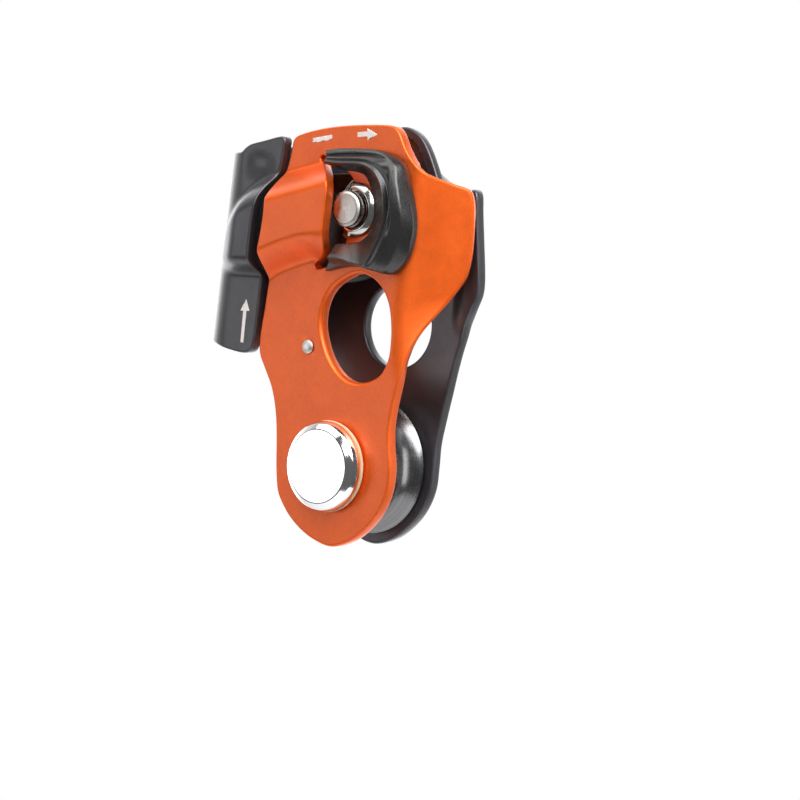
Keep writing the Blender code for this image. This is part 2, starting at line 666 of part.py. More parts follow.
def cam_lever():
    holes = [circle(x, z, 1.5, 10) for x, z in LEVER_RIVETS]
    outer = even_loop(lever_outline(), 2.2)
    bm = sheet(outer, holes, hex_grid(-2, 20, 62, 88, 4.0), lever_place, LEVER_T, 0.5, 1)
    return finish(bm, "cam_lever", dark_anodised(), (CAM_X, CAM_MID_Y, CAM_Z))


def lever_rivet(index, x, z):
    profile = [(0.0, 5.2), (1.6, 5.3), (2.0, 5.7), (1.2, 5.7), (1.2, 11.3), (2.0, 11.3),
               (1.6, 11.9), (0.0, 12.0)]
    return finish(lathe(profile, x, z, 12), f"lever_rivet_{index}", polished_steel(),
                  (CAM_X, CAM_MID_Y, CAM_Z))


def cam_axle():
    """Pin with a button head that the swing plate's tunnel passes over."""
    profile = [(0.0, -4.5), (3.9, -4.5), (CAM_HEAD_R, -3.9), (CAM_HEAD_R, -2.4), (4.3, -1.9),
               (CAM_AXLE_R, -1.8), (CAM_AXLE_R, 22.6), (0.0, 22.6)]
    return finish(lathe(profile, CAM_X, CAM_Z, 28), "cam_axle", polished_steel(),
                  (CAM_X, 0.0, CAM_Z), 25)


def cam_axle_rear_head():
    profile = [(CAM_AXLE_R + GAP, 21.1), (6.3, 21.1), (6.5, 21.4), (6.1, 22.4), (5.2, 22.8),
               (CAM_AXLE_R + GAP, 22.8)]
    return finish(lathe(profile, CAM_X, CAM_Z, 28), "cam_axle_rear_head", polished_steel(),
                  (CAM_X, 0.0, CAM_Z), 25)


def cam_spring():
    """Torsion spring round the cam axle, in front of the cam: a wire coil with a leg at each end."""
    wire, radius, turns, first, last = 0.4, 6.9, 1.75, 3.65, 5.45
    route = []
    steps = 40
    for k in range(steps + 1):
        t = k / steps
        a = math.radians(255) + t * turns * 2 * math.pi
        route.append(Vector((CAM_X + radius * math.cos(a), first + (last - first) * t,
                             CAM_Z + radius * math.sin(a))))
    leg = (route[0] - route[1]).normalized()
    route.insert(0, route[0] + Vector((leg.x, 0, leg.z)).normalized() * 6.0)
    leg = (route[-1] - route[-2]).normalized()
    route.append(route[-1] + Vector((leg.x, 0, leg.z)).normalized() * 5.0)
    bm = bmesh.new()
    rings = []
    for k, point in enumerate(route):
        ahead = (route[min(k + 1, len(route) - 1)] - route[max(k - 1, 0)]).normalized()
        side = ahead.cross(Vector((0, 1, 0))).normalized()
        up = side.cross(ahead)
        rings.append([bm.verts.new(point + wire * (math.cos(a) * side + math.sin(a) * up))
                      for a in (2 * math.pi * j / 6 for j in range(6))])
    for first_ring, second_ring in zip(rings, rings[1:]):
        join_rings(bm, first_ring, second_ring)
    bm.faces.new(rings[0])
    bm.faces.new(list(reversed(rings[-1])))
    return finish(bm, "cam_spring", polished_steel(), (CAM_X, 0.0, CAM_Z), 60)


def build():
    clear_scene()
    fixed_side_plate()
    swing_side_plate()
    thumb_guard()
    wear_ring()
    stop_rivet()
    plate_bushing()
    sheave_axle()
    axle_rear_head()
    turned_ring("axle_washer", cream_nylon(), AXLE_R + GAP, 11.6, -1.2, -0.5)
    turned_ring("axle_rear_washer", brushed_steel(), AXLE_R + GAP, 9.4, 21.0, 21.7)
    turned_ring("front_spacer", brushed_steel(), AXLE_R + GAP, 7.6, 3.5, 6.0)
    turned_ring("rear_spacer", brushed_steel(), AXLE_R + GAP, 7.6, 14.8, 17.4)
    race("bearing_inner_race", AXLE_R + GAP, 6.95, 4.1, "outer")
    race("bearing_outer_race", 10.25, 12.2, 4.1, "inner")
    bearing_cage()
    for index in range(BALL_COUNT):
        ball(index)
    sheave()
    cam()
    turned_ring("cam_bushing", bronze(), CAM_AXLE_R + GAP, 4.7, CAM_FRONT - 0.2, CAM_BACK + 0.2,
                CAM_X, CAM_Z)
    cam_lever()
    for index, (x, z) in enumerate(LEVER_RIVETS, start=1):
        lever_rivet(index, x, z)
    cam_axle()
    cam_axle_rear_head()
    turned_ring("cam_rear_spacer", brushed_steel(), CAM_AXLE_R + GAP, 6.0, CAM_BACK + 0.5, 17.4,
                CAM_X, CAM_Z)
    cam_spring()


build()
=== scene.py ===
"""Finished look of the rope clamp with pulley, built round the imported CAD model.

Shapes are drawn in the design frame, in millimetres: origin on the sheave axle where it crosses
the front face of the swing plate, X to the right, Y to the back, Z up along the rope.
"""
import json
import math

import bmesh
import bpy
import numpy as np
from mathutils import Matrix, Vector
from mathutils.geometry import delaunay_2d_cdt


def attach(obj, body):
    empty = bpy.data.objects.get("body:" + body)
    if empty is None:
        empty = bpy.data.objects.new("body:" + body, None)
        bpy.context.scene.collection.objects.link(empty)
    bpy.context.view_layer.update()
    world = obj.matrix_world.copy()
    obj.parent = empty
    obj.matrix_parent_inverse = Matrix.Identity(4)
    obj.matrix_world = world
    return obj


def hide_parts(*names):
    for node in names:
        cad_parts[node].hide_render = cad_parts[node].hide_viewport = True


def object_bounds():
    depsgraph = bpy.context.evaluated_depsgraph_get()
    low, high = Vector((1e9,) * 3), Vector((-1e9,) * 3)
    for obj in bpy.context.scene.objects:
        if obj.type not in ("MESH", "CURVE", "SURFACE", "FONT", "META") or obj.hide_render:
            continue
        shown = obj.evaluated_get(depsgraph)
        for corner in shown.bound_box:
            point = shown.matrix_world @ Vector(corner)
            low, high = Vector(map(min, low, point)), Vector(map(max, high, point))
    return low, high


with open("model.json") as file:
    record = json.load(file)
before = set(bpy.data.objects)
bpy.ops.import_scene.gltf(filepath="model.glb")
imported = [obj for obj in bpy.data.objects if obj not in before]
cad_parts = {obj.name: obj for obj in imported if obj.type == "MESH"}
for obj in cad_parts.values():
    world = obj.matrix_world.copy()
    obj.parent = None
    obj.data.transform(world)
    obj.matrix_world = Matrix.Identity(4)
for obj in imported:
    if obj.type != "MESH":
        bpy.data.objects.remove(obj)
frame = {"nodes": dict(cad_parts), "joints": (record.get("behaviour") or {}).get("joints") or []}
cad_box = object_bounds()

MM = 0.001
JOINT_AT = {joint["name"]: np.array(joint["pos_m"]) / MM for joint in frame["joints"]}
SHEAVE_X, SHEAVE_MID_Y = 0.2, 10.4
ORIGIN = np.array([SHEAVE_X, 0.0, 0.0]) - JOINT_AT["swing_plate_open"]
CAM_X, _, CAM_Z = JOINT_AT["cam_open"] + ORIGIN

PLATE_T = 3.1                           # both side plates
LOBE_X, LOBE_R = 0.6, 19.2
AXLE_R, HEAD_R = 5.0, 11.45
CAM_AXLE_R, CAM_HEAD_R = 3.5, 4.6
CAM_FRONT, CAM_BACK = 6.0, 13.6
CHANNEL_X, CHANNEL_Y, CHANNEL_R = -38.9, 9.8, 10.7
CHANNEL_MID_R = CHANNEL_R - PLATE_T / 2
BULGE = 7.9                             # height of the tunnel over the cam axle's head
TONGUE_X = -5.0                         # free edge of the tunnel
EYE_REAR = (2.4, 36.5, 10.8)
RIVET_X, RIVET_Z = -11.5, 28.8
LEVER_FRONT, LEVER_T = 8.6, 2.4
LEVER_RIVETS = ((10.7, 69.0), (2.9, 76.4))
BALL_COUNT, BALL_R, BALL_RING_R = 8, 1.45, 8.6


# ---------------- materials

class Nodes:
    """Short way to lay out a material's nodes."""

    def __init__(self, name):
        self.material = bpy.data.materials.new(name)
        self.material.use_nodes = True
        self.tree = self.material.node_tree
        self.shader = self.tree.nodes["Principled BSDF"]
        self.place = self.add("ShaderNodeTexCoord").outputs["Object"]

    def add(self, kind, **settings):
        node = self.tree.nodes.new(kind)
        for key, value in settings.items():
            setattr(node, key, value)
        return node

    def link(self, source, target):
        self.tree.links.new(source, target)

    def set(self, **values):
        for key, value in values.items():
            self.shader.inputs[key.replace("_", " ")].default_value = value

    def noise(self, size_mm, detail=3.0, roughness=0.55):
        """Noise whose blotches are about size_mm across."""
        noise = self.add("ShaderNodeTexNoise")
        noise.inputs["Scale"].default_value = 1 / (size_mm * MM)
        noise.inputs["Detail"].default_value = detail
        noise.inputs["Roughness"].default_value = roughness
        self.link(self.place, noise.inputs["Vector"])
        return noise.outputs["Fac"]

    def spread(self, source, low, high, from_low=0.3, from_high=0.7):
        """Rescale a grey value to low..high."""
        scale = self.add("ShaderNodeMapRange")
        scale.inputs["From Min"].default_value = from_low
        scale.inputs["From Max"].default_value = from_high
        scale.inputs["To Min"].default_value = low
        scale.inputs["To Max"].default_value = high
        self.link(source, scale.inputs["Value"])
        return scale.outputs["Result"]

    def blend(self, factor, first, second):
        mix = self.add("ShaderNodeMix", data_type="RGBA")
        self.link(factor, mix.inputs["Factor"])
        for socket, colour in ((mix.inputs[6], first), (mix.inputs[7], second)):
            if isinstance(colour, tuple):
                socket.default_value = (*colour, 1.0)
            else:
                self.link(colour, socket)
        return mix.outputs[2]

    def feed(self, socket, source):
        self.link(source, self.shader.inputs[socket])

    def mottled(self, size_mm, detail, first, second):
        """Faint clouding from the first colour to the second."""
        return self.blend(self.spread(self.noise(size_mm, detail), 0.0, 1.0), first, second)

    def rubbed_and_highlit_edges(self, low=0.52, high=0.62):
        """1 on sharp outward edges, 0 elsewhere: mask for rubbed wear and a painted edge highlight."""
        return self.spread(self.add("ShaderNodeNewGeometry").outputs["Pointiness"], 0.0, 1.0, low, high)

    def bump(self, layers):
        """Stack of (grey value, depth in mm) bumps."""
        normal = None
        for source, depth_mm in layers:
            bump = self.add("ShaderNodeBump")
            bump.inputs["Distance"].default_value = depth_mm * MM
            self.link(source, bump.inputs["Height"])
            if normal:
                self.link(normal, bump.inputs["Normal"])
            normal = bump.outputs["Normal"]
        self.link(normal, self.shader.inputs["Normal"])


def anodised(name, dark, light, metallic, roughness, edge_gain):
    """Blasted and anodised aluminium: fine even grain, faint clouding, rims painted brighter as rubbed wear
    and as a painted highlight.
    """
    nodes = Nodes(name)
    grain = nodes.noise(0.32, 2.0, 0.6)
    colour = nodes.mottled(9.0, 4.0, dark, light)
    speckle = nodes.blend(nodes.spread(grain, 0.0, 0.35), colour, tuple(c * 1.35 for c in light))
    # rim colour is edge_gain times the light tone: partly rubbed wear, partly a painted highlight on the
    # sharp edges
    rim = tuple(min(1.0, c * edge_gain) for c in light)
    nodes.feed("Base Color", nodes.blend(nodes.rubbed_and_highlit_edges(), speckle, rim))
    nodes.set(Metallic=metallic, Coat_Weight=0.6, Coat_Roughness=0.28)
    nodes.feed("Roughness", nodes.spread(nodes.noise(2.5, 5.0), roughness - 0.04, roughness + 0.05))
    nodes.bump([(grain, 0.02), (nodes.noise(14.0, 1.0), 0.05)])
    return nodes.material


def moulded_plastic(name, dark, light, roughness):
    nodes = Nodes(name)
    grain = nodes.noise(0.4, 3.0, 0.65)
    colour = nodes.mottled(6.0, 4.0, dark, light)
    # sharp edges painted 1.9 times lighter: partly rubbed wear, partly a painted highlight
    rim = nodes.blend(nodes.rubbed_and_highlit_edges(0.53, 0.66), colour, tuple(c * 1.9 for c in light))
    nodes.feed("Base Color", rim)
    nodes.feed("Roughness", nodes.spread(grain, roughness - 0.06, roughness + 0.08))
    nodes.set(Specular_IOR_Level=0.8, IOR=1.55)
    nodes.bump([(grain, 0.03), (nodes.noise(5.0, 1.0), 0.06)])
    return nodes.material


def metal(name, dark, light, roughness, scratch_mm=0.004, spread=0.05, grain_mm=0.5):
    """Bright metal with faint clouding and fine wear in its gloss."""
    nodes = Nodes(name)
    nodes.feed("Base Color", nodes.mottled(4.0, 5.0, dark, light))
    nodes.set(Metallic=1.0)
    wear = nodes.noise(1.2, 6.0, 0.7)
    nodes.feed("Roughness", nodes.spread(wear, max(0.02, roughness - spread), roughness + spread))
    nodes.bump([(nodes.noise(grain_mm, 4.0, 0.7), scratch_mm)])
    return nodes.material


def turned_metal(name, dark, light, roughness, groove_mm, depth_mm, centre, anisotropic=0.0):
    """Metal with fine turning marks round the Y axis through centre (x, z)."""
    nodes = Nodes(name)
    shift = nodes.add("ShaderNodeVectorMath", operation="SUBTRACT")
    middle = (np.array([centre[0], 0.0, centre[1]]) - ORIGIN) * MM
    shift.inputs[1].default_value = (middle[0], 0.0, middle[2])
    nodes.link(nodes.place, shift.inputs[0])
    flat = nodes.add("ShaderNodeVectorMath", operation="MULTIPLY")
    flat.inputs[1].default_value = (1.0, 0.0, 1.0)
    nodes.link(shift.outputs["Vector"], flat.inputs[0])
    reach = nodes.add("ShaderNodeVectorMath", operation="LENGTH")
    nodes.link(flat.outputs["Vector"], reach.inputs[0])
    rings = nodes.add("ShaderNodeTexNoise", noise_dimensions="1D")
    rings.inputs["Scale"].default_value = 1 / (groove_mm * MM)
    rings.inputs["Detail"].default_value = 3.0
    nodes.link(reach.outputs["Value"], rings.inputs["W"])
    marks = rings.outputs["Fac"]
    nodes.feed("Base Color", nodes.blend(nodes.spread(marks, 0.0, 1.0), dark, light))
    nodes.set(Metallic=1.0, Anisotropic=anisotropic)
    if anisotropic:
        tangent = nodes.add("ShaderNodeTangent", direction_type="RADIAL", axis="Y")
        nodes.feed("Tangent", tangent.outputs["Tangent"])
    nodes.feed("Roughness", nodes.spread(nodes.noise(1.5, 5.0, 0.7), roughness - 0.03, roughness + 0.05))
    nodes.bump([(marks, depth_mm)])
    return nodes.material


def nylon():
    nodes = Nodes("cream_nylon")
    nodes.feed("Base Color", nodes.mottled(2.0, 4.0, (0.62, 0.47, 0.29), (0.75, 0.60, 0.40)))
    nodes.feed("Roughness", nodes.spread(nodes.noise(0.4, 3.0), 0.42, 0.56))
    nodes.set(Subsurface_Weight=0.15, Subsurface_Scale=0.001)
    nodes.bump([(nodes.noise(0.5, 3.0), 0.01)])
    return nodes.material


def print_ink():
    """Pale laser marking, slightly broken up by the grain under it."""
    nodes = Nodes("pale_marking")
    nodes.feed("Base Color", nodes.mottled(0.35, 3.0, (0.66, 0.60, 0.57), (0.74, 0.68, 0.65)))
    nodes.feed("Roughness", nodes.spread(nodes.noise(0.5, 3.0), 0.5, 0.65))
    nodes.bump([(nodes.noise(0.32, 2.0), 0.01)])
    return nodes.material


ORANGE = anodised("orange_anodised", (0.78, 0.116, 0.009), (0.88, 0.140, 0.012), 0.90, 0.54, 1.15)
DARK = anodised("dark_anodised", (0.051, 0.050, 0.057), (0.073, 0.070, 0.079), 0.85, 0.46, 2.4)
PLASTIC = moulded_plastic("dark_plastic", (0.008, 0.0072, 0.0068), (0.013, 0.012, 0.0115), 0.31)
# sheave aluminium with a dark grey base colour
SHEAVE_LOOK = turned_metal("dark_grey_aluminium", (0.19, 0.19, 0.195), (0.25, 0.25, 0.255), 0.25, 0.4, 0.002,
                           (SHEAVE_X, 0.0))
POLISHED = turned_metal("polished_aluminium", (0.84, 0.84, 0.85), (0.93, 0.93, 0.94), 0.10, 0.35, 0.0015,
                        (SHEAVE_X, 0.0))
STEEL = metal("polished_steel", (0.58, 0.57, 0.56), (0.70, 0.69, 0.68), 0.13)
BUTTON = turned_metal("turned_steel", (0.40, 0.38, 0.36), (0.50, 0.48, 0.45), 0.28, 0.22, 0.002,
                      (CAM_X, CAM_Z), 0.85)
RIVET = metal("rivet_steel", (0.72, 0.71, 0.70), (0.84, 0.83, 0.82), 0.42)
BRUSHED = metal("brushed_steel", (0.40, 0.39, 0.38), (0.54, 0.53, 0.52), 0.32, 0.02, 0.08, 0.35)
# dark base colour: painted shade for the cam, which sits deep between the plates
CAM_STEEL = metal("cam_steel_painted_shade", (0.10, 0.098, 0.098), (0.17, 0.165, 0.16), 0.36, 0.02, 0.08, 0.35)
NYLON = nylon()
BRONZE = metal("bronze", (0.50, 0.31, 0.13), (0.66, 0.43, 0.19), 0.33, 0.01)
INK = print_ink()


# ---------------- mesh tools

def put(name, data):
    obj = bpy.data.objects.new(name, data)
    bpy.context.scene.collection.objects.link(obj)
    return obj


def add_piece(name, verts, faces, look, body, nodes=(), sharp=32.0):
    """Make a mesh piece from design points, riding on a body and standing for CAD nodes."""
    mesh = bpy.data.meshes.new(name)
    points = (np.asarray(verts, float) - ORIGIN) * MM
    mesh.from_pydata(points.tolist(), [], [list(map(int, face)) for face in faces])
    bm = bmesh.new()
    bm.from_mesh(mesh)
    bmesh.ops.recalc_face_normals(bm, faces=bm.faces)
    bm.to_mesh(mesh)
    bm.free()
    mesh.shade_smooth()
    mesh.set_sharp_from_angle(angle=math.radians(sharp))
    mesh.materials.append(look)
    obj = put(name, mesh)
    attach(obj, body)
    if nodes:
        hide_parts(*nodes)


def ramp(value, low, high):
    """0 below low, 1 above high, smooth between."""
    t = np.clip((np.asarray(value, float) - low) / (high - low), 0.0, 1.0)
    return t * t * (3 - 2 * t)


def hermite(t):
    """Weights of the start, its tangent, the end and its tangent."""
    return 2 * t**3 - 3 * t**2 + 1, t**3 - 2 * t**2 + t, 3 * t**2 - 2 * t**3, t**3 - t**2


def curve(value, xs, ys):
    """Smooth curve through the points (xs, ys) that never overshoots, level beyond its ends."""
    xs, ys = np.array(xs, float), np.array(ys, float)
    steps = np.diff(xs)
    slopes = np.diff(ys) / steps
    tangents = np.zeros(len(xs))
    product = slopes[:-1] * slopes[1:]
    rising = product > 0
    tangents[1:-1][rising] = 2 * product[rising] / (slopes[:-1] + slopes[1:])[rising]
    value = np.clip(value, xs[0], xs[-1])
    i = np.clip(np.searchsorted(xs, value) - 1, 0, len(xs) - 2)
    a, b, c, d = hermite((value - xs[i]) / steps[i])
    return (a * ys[i] + b * steps[i] * tangents[i]
            + c * ys[i + 1] + d * steps[i] * tangents[i + 1])


def smooth_loop(points, steps=8, closed=True):
    """Curve through the points: Catmull-Rom with tangents scaled to the chords."""
    pts = np.array(points, float)
    n = len(pts)
    if not closed:
        pts = np.vstack([2 * pts[0] - pts[1], pts, 2 * pts[-1] - pts[-2]])
    out = []
    for i in range(n if closed else n - 1):
        if closed:
            p0, p1, p2, p3 = pts[i - 1], pts[i], pts[(i + 1) % n], pts[(i + 2) % n]
        else:
            p0, p1, p2, p3 = pts[i:i + 4]
        chord = np.linalg.norm(p2 - p1)
        m1 = (p2 - p0) / (chord + np.linalg.norm(p1 - p0)) * chord
        m2 = (p3 - p1) / (np.linalg.norm(p3 - p2) + chord) * chord
        for t in np.arange(steps) / steps:
            a, b, c, d = hermite(t)
            out.append(a * p1 + b * m1 + c * p2 + d * m2)
    if not closed:
        out.append(pts[-2])
    return np.array(out)


def running_length(points):
    return np.concatenate([[0], np.cumsum(np.linalg.norm(np.diff(points, axis=0), axis=1))])


def even_loop(points, spacing):
    """The closed curve again, with points evenly spaced along it."""
    closed = np.vstack([points, points[:1]])
    along = running_length(closed)
    count = max(12, int(round(along[-1] / spacing)))
    where = np.arange(count) * along[-1] / count
    return np.column_stack([np.interp(where, along, closed[:, k]) for k in (0, 1)])


def circle(x, z, radius, count):
    turn = np.arange(count) * 2 * math.pi / count
    return np.column_stack([x + radius * np.cos(turn), z + radius * np.sin(turn)])


def signed_area(loop):
    x, z = loop[:, 0], loop[:, 1]
    return 0.5 * float(np.sum(x * np.roll(z, -1) - np.roll(x, -1) * z))


def inset(loop, distance, hole):
    """Move each point of the loop into the material."""
    ahead = np.roll(loop, -1, axis=0) - np.roll(loop, 1, axis=0)
    ahead /= np.linalg.norm(ahead, axis=1)[:, None]
    left = np.column_stack([-ahead[:, 1], ahead[:, 0]])
    side = 1.0 if (signed_area(loop) > 0) != hole else -1.0
    return loop + left * side * distance


def inside(points, loop):
    x, z = points[:, 0][:, None], points[:, 1][:, None]
    ax, az = loop[:, 0], loop[:, 1]
    bx, bz = np.roll(ax, -1), np.roll(az, -1)
    crosses = (az > z) != (bz > z)
    with np.errstate(divide="ignore", invalid="ignore"):
        hit = x < (bx - ax) * (z - az) / (bz - az) + ax
    return (crosses & hit).sum(axis=1) % 2 == 1


def in_sheet(points, loops):
    """Inside the first loop and outside the others."""
    keep = inside(points, loops[0])
    for hole in loops[1:]:
        keep &= ~inside(points, hole)
    return keep


def edge_distance(points, loop):
    """Distance of each point to the closed outline."""
    a, b = loop, np.roll(loop, -1, axis=0)
    ab = b - a
    t = np.clip(((points[:, None] - a) * ab).sum(axis=2) / (ab * ab).sum(axis=1), 0.0, 1.0)
    return np.linalg.norm(points[:, None] - (a + t[:, :, None] * ab), axis=2).min(axis=1)


def hex_grid(x0, x1, z0, z1, spacing):
    rows = []
    for k, z in enumerate(np.arange(z0, z1, spacing * 0.866)):
        shift = spacing / 2 if k % 2 else 0.0
        rows += [(x + shift, z) for x in np.arange(x0, x1, spacing)]
    return np.array(rows)


def filled(loops, grid):
    """Triangles inside the first loop and outside the others; the loops' points come first."""
    points = np.vstack(loops)
    edges, start = [], 0
    for loop in loops:
        n = len(loop)
        edges += [(start + i, start + (i + 1) % n) for i in range(n)]
        start += n
    grid = grid[in_sheet(grid, loops)]
    near = np.concatenate([np.linalg.norm(part[:, None] - points[None], axis=2).min(axis=1)
                           for part in np.array_split(grid, 12)])
    spacing = np.median(np.linalg.norm(loops[0] - np.roll(loops[0], 1, axis=0), axis=1))
    everything = np.vstack([points, grid[near > 0.6 * spacing]])
    verts, _, faces, *_ = delaunay_2d_cdt([Vector(p) for p in everything], edges, [], 0, 1e-7)
    verts = np.array([tuple(v) for v in verts])
    faces = np.array([f for f in faces if len(f) == 3])
    return verts, faces[in_sheet(verts[faces].mean(axis=1), loops)]


SUPPORT = 0.22                          # strip beside a rounded rim that keeps the face flat


def sheet(outer, holes, grid, place, thickness, rim=(0.5, 0.5, 0.5), hole_rims=None, steps=4):
    """Plate with rounded rims. place(x, z, depth) bends it into 3-D.

    A rim is (width in front, depth in front, radius behind).
    """
    loops = [outer, *holes]
    rims = [rim] + list(hole_rims or [rim] * len(holes))
    is_hole = [False] + [True] * len(holes)
    front_loops = [inset(l, r[0] + SUPPORT, h) for l, r, h in zip(loops, rims, is_hole)]
    back_loops = [inset(l, r[2] + SUPPORT, h) for l, r, h in zip(loops, rims, is_hole)]
    flat, faces = filled(front_loops, grid)
    rim_count = sum(map(len, loops))
    behind = flat.copy()
    behind[:rim_count] = np.vstack(back_loops)
    n = len(flat)
    verts = [place(flat[:, 0], flat[:, 1], np.zeros(n)),
             place(behind[:, 0], behind[:, 1], np.full(n, thickness))]
    quads = [tuple(f) for f in faces] + [tuple(f[::-1] + n) for f in faces]
    used, start = 2 * n, 0
    for loop, (width, drop, back), hole in zip(loops, rims, is_hole):
        rows = [(width, 0.0)]
        rows += [(width * (1 - math.sin(a)), drop * (1 - math.cos(a)))
                 for a in np.linspace(0, math.pi / 2, steps + 1)[1:]]
        rows += [(back * (1 - math.cos(a)), thickness - back * (1 - math.sin(a)))
                 for a in np.linspace(0, math.pi / 2, steps + 1)]
        count = len(loop)
        ring = np.arange(start, start + count)
        for pull, depth in rows:
            shape = inset(loop, pull, hole) if pull > 1e-6 else loop
            verts.append(place(shape[:, 0], shape[:, 1], np.full(count, depth)))
            row = np.arange(used, used + count)
            quads += list(zip(ring, np.roll(ring, -1), np.roll(row, -1), row))
            ring, used = row, used + count
        row = np.arange(n + start, n + start + count)
        quads += list(zip(ring, np.roll(ring, -1), np.roll(row, -1), row))
        start += count
    return np.vstack(verts), quads


def rounded(profile, segments=5):
    """Open profile of (radius, y, fillet) corners with each corner rounded to its fillet."""
    points = [np.array(p[:2], float) for p in profile]
    out = [points[0]]
    for i in range(1, len(points) - 1):
        fillet = profile[i][2] if len(profile[i]) > 2 else 0.0
        if fillet <= 0:
            out.append(points[i])
            continue
        before, after = points[i - 1] - points[i], points[i + 1] - points[i]
        la, lb = np.linalg.norm(before), np.linalg.norm(after)
        before, after = before / la, after / lb
        half = math.acos(np.clip(before @ after, -1, 1)) / 2
        cut = min(fillet / math.tan(half), 0.49 * la, 0.49 * lb)
        radius = cut * math.tan(half)
        bisector = (before + after) / np.linalg.norm(before + after)
        centre = points[i] + bisector * radius / math.sin(half)
        first, last = points[i] + before * cut - centre, points[i] + after * cut - centre
        for t in np.linspace(0, 1, segments + 1):
            arm = first * (1 - t) + last * t
            out.append(centre + arm / np.linalg.norm(arm) * radius)
    out.append(points[-1])
    return out


def turned(name, profile, look, body, nodes, x=SHEAVE_X, z=0.0, segments=128, closed=False, **more):
    """Piece turned about the line through (x, z) along Y. A radius of 0 closes an end."""
    rings, verts, faces = [], [], []
    turn = 2 * np.pi * np.arange(segments) / segments
    for radius, y in profile:
        first = len(verts)
        if radius < 1e-6:
            verts.append((x, y, z))
            rings.append([first])
            continue
        verts += [(x + radius * math.cos(a), y, z + radius * math.sin(a)) for a in turn]
        rings.append(list(range(first, first + segments)))
    pairs = list(zip(rings, rings[1:])) + ([(rings[-1], rings[0])] if closed else [])
    for a, b in pairs:
        for i in range(segments):
            j = (i + 1) % segments
            if len(a) == 1:
                faces.append((a[0], b[j], b[i]))
            elif len(b) == 1:
                faces.append((a[i], a[j], b[0]))
            else:
                faces.append((a[i], a[j], b[j], b[i]))
    add_piece(name, verts, faces, look, body, nodes, **more)


def ring_profile(inner, outer, y0, y1, fillet=0.2):
    """Closed section of a ring, filleted at its outer corners."""
    return rounded([
        (inner, (y0 + y1) / 2), (inner, y0, 0.1), (outer, y0, fillet), (outer, y1, fillet),
        (inner, y1, 0.1), (inner, (y0 + y1) / 2 + 0.01)])


# ---------------- swing side plate

def lobe_points():
    """The round lower end about the sheave axle, clockwise from the right, with a blunt low tip."""
    points = []
    for degrees in range(8, -190, -18):
        a = math.radians(degrees)
        tip = 1.1 * math.exp(-(((degrees + 80) / 20) ** 2))
        points.append((LOBE_X + (LOBE_R + tip) * math.cos(a), (LOBE_R + tip) * math.sin(a)))
    return points


def swing_outline():
    left = [(-19.4, 7.0), (-20.8, 12.4), (-22.8, 17.0), (-25.4, 20.8), (-27.9, 24.6), (-28.5, 29.0),
            (-28.1, 36.0), (-27.7, 43.3), (-26.9, 47.6), (-26.0, 52.5), (-25.5, 58.0),
            (-25.5, 63.0), (-26.2, 67.0), (-26.6, 70.0), (-25.8, 73.4), (-25.2, 77.0)]
    top = [(-24.9, 80.2), (-23.7, 81.5), (-16.3, 83.9), (-8.2, 85.5), (0.0, 86.5), (5.6, 86.9),
           (8.0, 86.6), (9.8, 85.1)]
    wing = [(12.0, 81.8), (15.0, 78.8), (18.9, 76.1), (23.2, 74.4), (25.8, 73.6), (26.7, 72.2),
            (27.3, 69.5), (28.0, 62.0), (28.1, 56.0), (27.6, 52.2), (26.2, 48.6), (24.5, 45.0),
            (22.9, 41.4), (21.3, 37.0), (19.9, 31.5), (19.0, 25.4)]
    right = [(18.0, 19.0), (17.7, 13.0), (18.4, 8.0)]
    return smooth_loop(left + top + wing + right + lobe_points()[:-1])


def front_eye():
    """Egg-shaped carabiner eye, counter-clockwise from its top."""
    return smooth_loop([
        (1.9, 49.2), (-2.4, 47.3), (-6.2, 44.2), (-8.2, 40.0), (-8.3, 34.9), (-6.4, 30.0),
        (-3.5, 26.0), (0.2, 23.2), (4.2, 22.1), (8.4, 22.8), (12.3, 25.2), (14.2, 29.0), (14.4, 33.5),
        (13.8, 38.2), (12.4, 42.7), (9.9, 46.2), (6.2, 48.6)])


def tunnel_mouth():
    """The hole beside the tunnel's tongue: two slits and the notch that the cam axle sits in."""
    notch = [(CAM_X + 4.1 * math.cos(a), CAM_Z + 4.1 * math.sin(a))
             for a in np.radians(np.arange(80, -81, -20))]
    plate_side = [
        (-15.2, 76.5), (-14.4, 77.4), (-13.2, 77.0), (-9.0, 75.6), (-5.6, 74.0), (-3.2, 72.0)]
    lower = [(-2.4, 60.0), (-3.3, 58.0), (-3.7, 55.0), (-4.6, 52.4), (-7.0, 50.4), (-10.8, 48.9),
             (-12.0, 48.7)]
    tongue = [
        (-12.9, 49.6), (-12.3, 50.4), (-10.9, 51.2), (-8.6, 52.5), (-6.4, 54.4), (-5.2, 57.2),
        (-5.0, 61.0), (-5.0, 66.0), (-5.1, 69.6), (-5.9, 71.4), (-7.8, 72.8), (-11.0, 74.2),
        (-14.0, 75.6)]
    return smooth_loop(plate_side + notch + lower + tongue, 5)


def wing_bend(x, z):
    """How far back the right-hand wing is bent."""
    profile_x = (13.0, 15.5, 18.0, 20.0, 22.5, 25.0, 27.5, 30.0)
    profile_y = (0.0, 0.25, 1.5, 3.9, 7.0, 9.4, 11.0, 12.2)
    return curve(x, profile_x, profile_y) * ramp(z, 20.0, 46.0)


